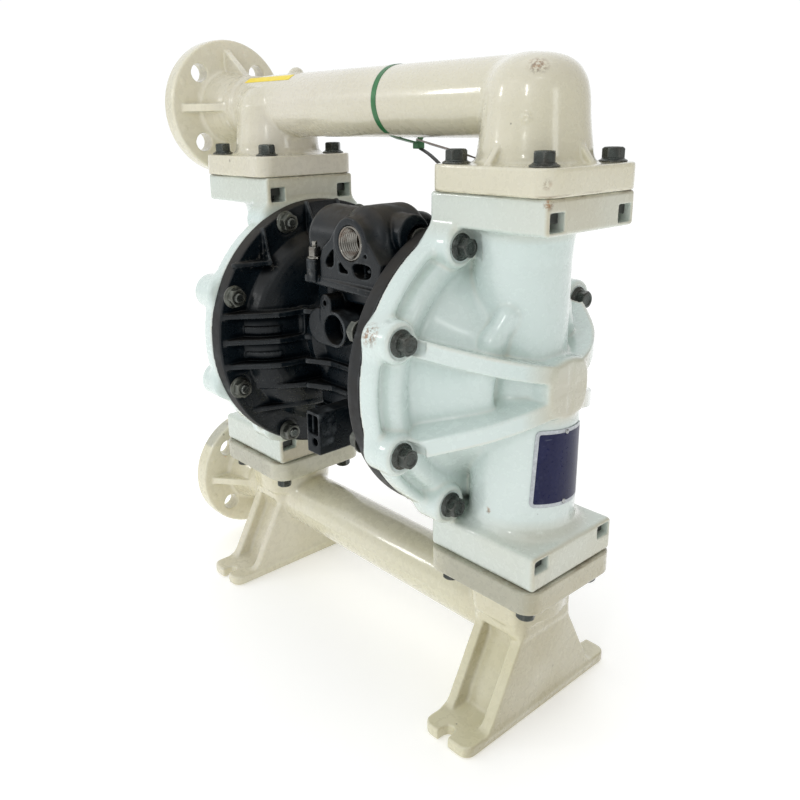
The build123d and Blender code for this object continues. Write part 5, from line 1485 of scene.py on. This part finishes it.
# cable tie: round the tube, hanging loose below it
loop = []
for d in range(-42, 222, 6):
    a = math.radians(d)
    loop.append((25.5 * math.cos(a), Z_OUT + 25.5 * math.sin(a)))
loop = [(19.6, 402.4), (23.2, 407.6), (24.8, 414.0)] + [p for p in loop if not (p[1] < 416.0 and p[0] > 0)] + [(-15.8, 411.4), (-4.0, 406.0), (8.0, 403.4), (16.0, 401.6)]
tie = sweep([(17.0, y, z) for y, z in chaikin(loop, 1, True)], 5.0, 1.2, "tie_loop", M_TIE, True)
tv, tf = [], []
import bmesh
bm = bmesh.new()
bmesh.ops.create_cube(bm, size=1.0)
for v in bm.verts:
    v.co = (17.0 + v.co.x * 6.6, 19.2 + v.co.y * 6.4, 400.6 + v.co.z * 5.4)
bmesh.ops.bevel(bm, geom=list(bm.edges), offset=0.8, segments=3, profile=0.6, affect="EDGES")
for v in bm.verts:
    v.co = v.co * 0.001
me = bpy.data.meshes.new("tie_head")
bm.to_mesh(me)
bm.free()
me.polygons.foreach_set("use_smooth", np.ones(len(me.polygons), bool))
head = obj("tie_head", me)
finish_piece(tie, M_TIE, "root", ["cable_tie"])
finish_piece(head, M_TIE, "root", [])
tail = sweep(chaikin([(19.5, 18.5, 398.6), (27.0, 17.0, 396.4), (36.0, 14.0, 393.6), (46.0, 11.0, 389.4), (50.0, 10.0, 387.0)], 2), 2.6, 1.0, "tie_tail", M_TAIL, False, (0, 1, 0.2))
finish_piece(tail, M_TAIL, "root", [])

# ------------------------------------------------------------------ CAD nodes that stay
KEEP = {"valve_end_cap": M_RUBBER, "valve_sleeve": M_BRASS, "valve_spool": M_STEEL, 
        "shaft_bushes": M_ACETAL, "shaft_seals": M_RUBBER, "centre_screws": M_ZINC, "shaft": M_STEEL, "air_plate_near": M_GREYP, "air_plate_far": M_GREYP,
        "fluid_plate_near": M_GREYP, "fluid_plate_far": M_GREYP, "shaft_bolts": M_STEEL, "diaphragm_near": M_RUBBER, "diaphragm_far": M_RUBBER,
        "pilot_pin_near": M_STEEL, "pilot_pin_far": M_STEEL, "inlet_seat_near": M_ACETAL, "inlet_seat_far": M_ACETAL, "outlet_seat_near": M_ACETAL,
        "outlet_seat_far": M_ACETAL, "seat_o_rings": M_RUBBER, "inlet_ball_near": M_TEFLON, "inlet_ball_far": M_TEFLON, "outlet_ball_near": M_TEFLON,
        "outlet_ball_far": M_TEFLON, "hang_tag": M_TAG}
for n_, m_ in KEEP.items():
    o = NODES[n_]
    if len(o.material_slots) == 0:
        o.data.materials.append(m_)
    for s_ in o.material_slots:
        s_.material = m_

# ------------------------------------------------------------------ floor and light
import bmesh
bm = bmesh.new()
bmesh.ops.create_grid(bm, x_segments=1, y_segments=1, size=6.0)
me = bpy.data.meshes.new("floor")
bm.to_mesh(me)
bm.free()
floor = obj("floor", me)
floor.location = (0, 0, -0.0004)
k = M("floor_white")
fl = k.mix(k.rng(k.noise(2.0, 2.0, 0.5), 0.3, 0.7), lin(250, 250, 250), lin(247, 247, 247))
k.col(fl)
k.link(fl, k.b.inputs["Emission Color"])
k.set(Emission_Strength=0.27)
k.set(Roughness=0.9)
k.b.inputs["Specular IOR Level"].default_value = 0.1
set_mat(floor, k.m)

world = bpy.data.worlds.new("studio")
bpy.context.scene.world = world
world.use_nodes = True
wt = world.node_tree
bg = wt.nodes["Background"]
bg.inputs[1].default_value = 1.03
tc = wt.nodes.new("ShaderNodeTexCoord")
dt = wt.nodes.new("ShaderNodeVectorMath")
dt.operation = "DOT_PRODUCT"
dt.inputs[1].default_value = (0.93, 0.36, 0.0)
wt.links.new(tc.outputs["Generated"], dt.inputs[0])
rp_ = wt.nodes.new("ShaderNodeValToRGB")
rp_.color_ramp.elements[0].position = 0.53
rp_.color_ramp.elements[0].color = (0.99, 1.0, 1.0, 1)
rp_.color_ramp.elements[1].position = 0.86
rp_.color_ramp.elements[1].color = (0.42, 0.40, 0.37, 1)
d2_ = wt.nodes.new("ShaderNodeVectorMath")
d2_.operation = "DOT_PRODUCT"
d2_.inputs[1].default_value = (-0.15, -0.98, -0.1)
wt.links.new(tc.outputs["Generated"], d2_.inputs[0])
s2_ = wt.nodes.new("ShaderNodeMapRange")
s2_.inputs[1].default_value, s2_.inputs[2].default_value = 0.15, 0.95
s2_.inputs[3].default_value, s2_.inputs[4].default_value = 1.03, 0.80
wt.links.new(d2_.outputs["Value"], s2_.inputs[0])
wt.links.new(s2_.outputs[0], bg.inputs[1])
sc = wt.nodes.new("ShaderNodeMapRange")
sc.inputs[1].default_value, sc.inputs[2].default_value = -1.0, 1.0
wt.links.new(dt.outputs["Value"], sc.inputs[0])
wt.links.new(sc.outputs[0], rp_.inputs[0])
wt.links.new(rp_.outputs[0], bg.inputs[0])


def area(name, loc, target, size, size_y, power, color=(1, 1, 1)):
    ld = bpy.data.lights.new(name, "AREA")
    ld.shape = "RECTANGLE"
    ld.size, ld.size_y = size, size_y
    ld.energy = power
    ld.color = color
    lo = bpy.data.objects.new(name, ld)
    bpy.context.scene.collection.objects.link(lo)
    d = np.array(target) - np.array(loc)
    d = d / np.linalg.norm(d)
    from mathutils import Vector
    lo.location = loc
    lo.rotation_euler = Vector(d).to_track_quat("-Z", "Y").to_euler()
    return lo


area("key", (-0.5, -1.8, 1.3), (0, 0, 0.25), 1.0, 1.0, 1.5, (1.0, 0.99, 0.96))
area("side", (1.62, -0.30, 0.75), (0.1, 0, 0.25), 0.30, 0.45, 1.2, (0.95, 0.98, 1.0))
area("front", (0.62, -1.62, 1.05), (0.0, 0, 0.28), 0.10, 0.34, 2.6, (1.0, 1.0, 0.98))
area("over", (1.15, -1.05, 1.75), (0.05, 0, 0.3), 0.4, 0.12, 0.6, (1.0, 1.0, 1.0))
area("left", (-1.25, -1.35, 0.95), (0.0, 0, 0.3), 0.12, 0.30, 2.2, (1.0, 1.0, 1.0))
area("top", (0.0, 0.1, 2.2), (0, 0, 0.3), 1.3, 1.3, 2.4, (1.0, 0.98, 0.95))
bpy.context.scene.view_settings.view_transform = "Standard"
bpy.context.scene.view_settings.look = "None"
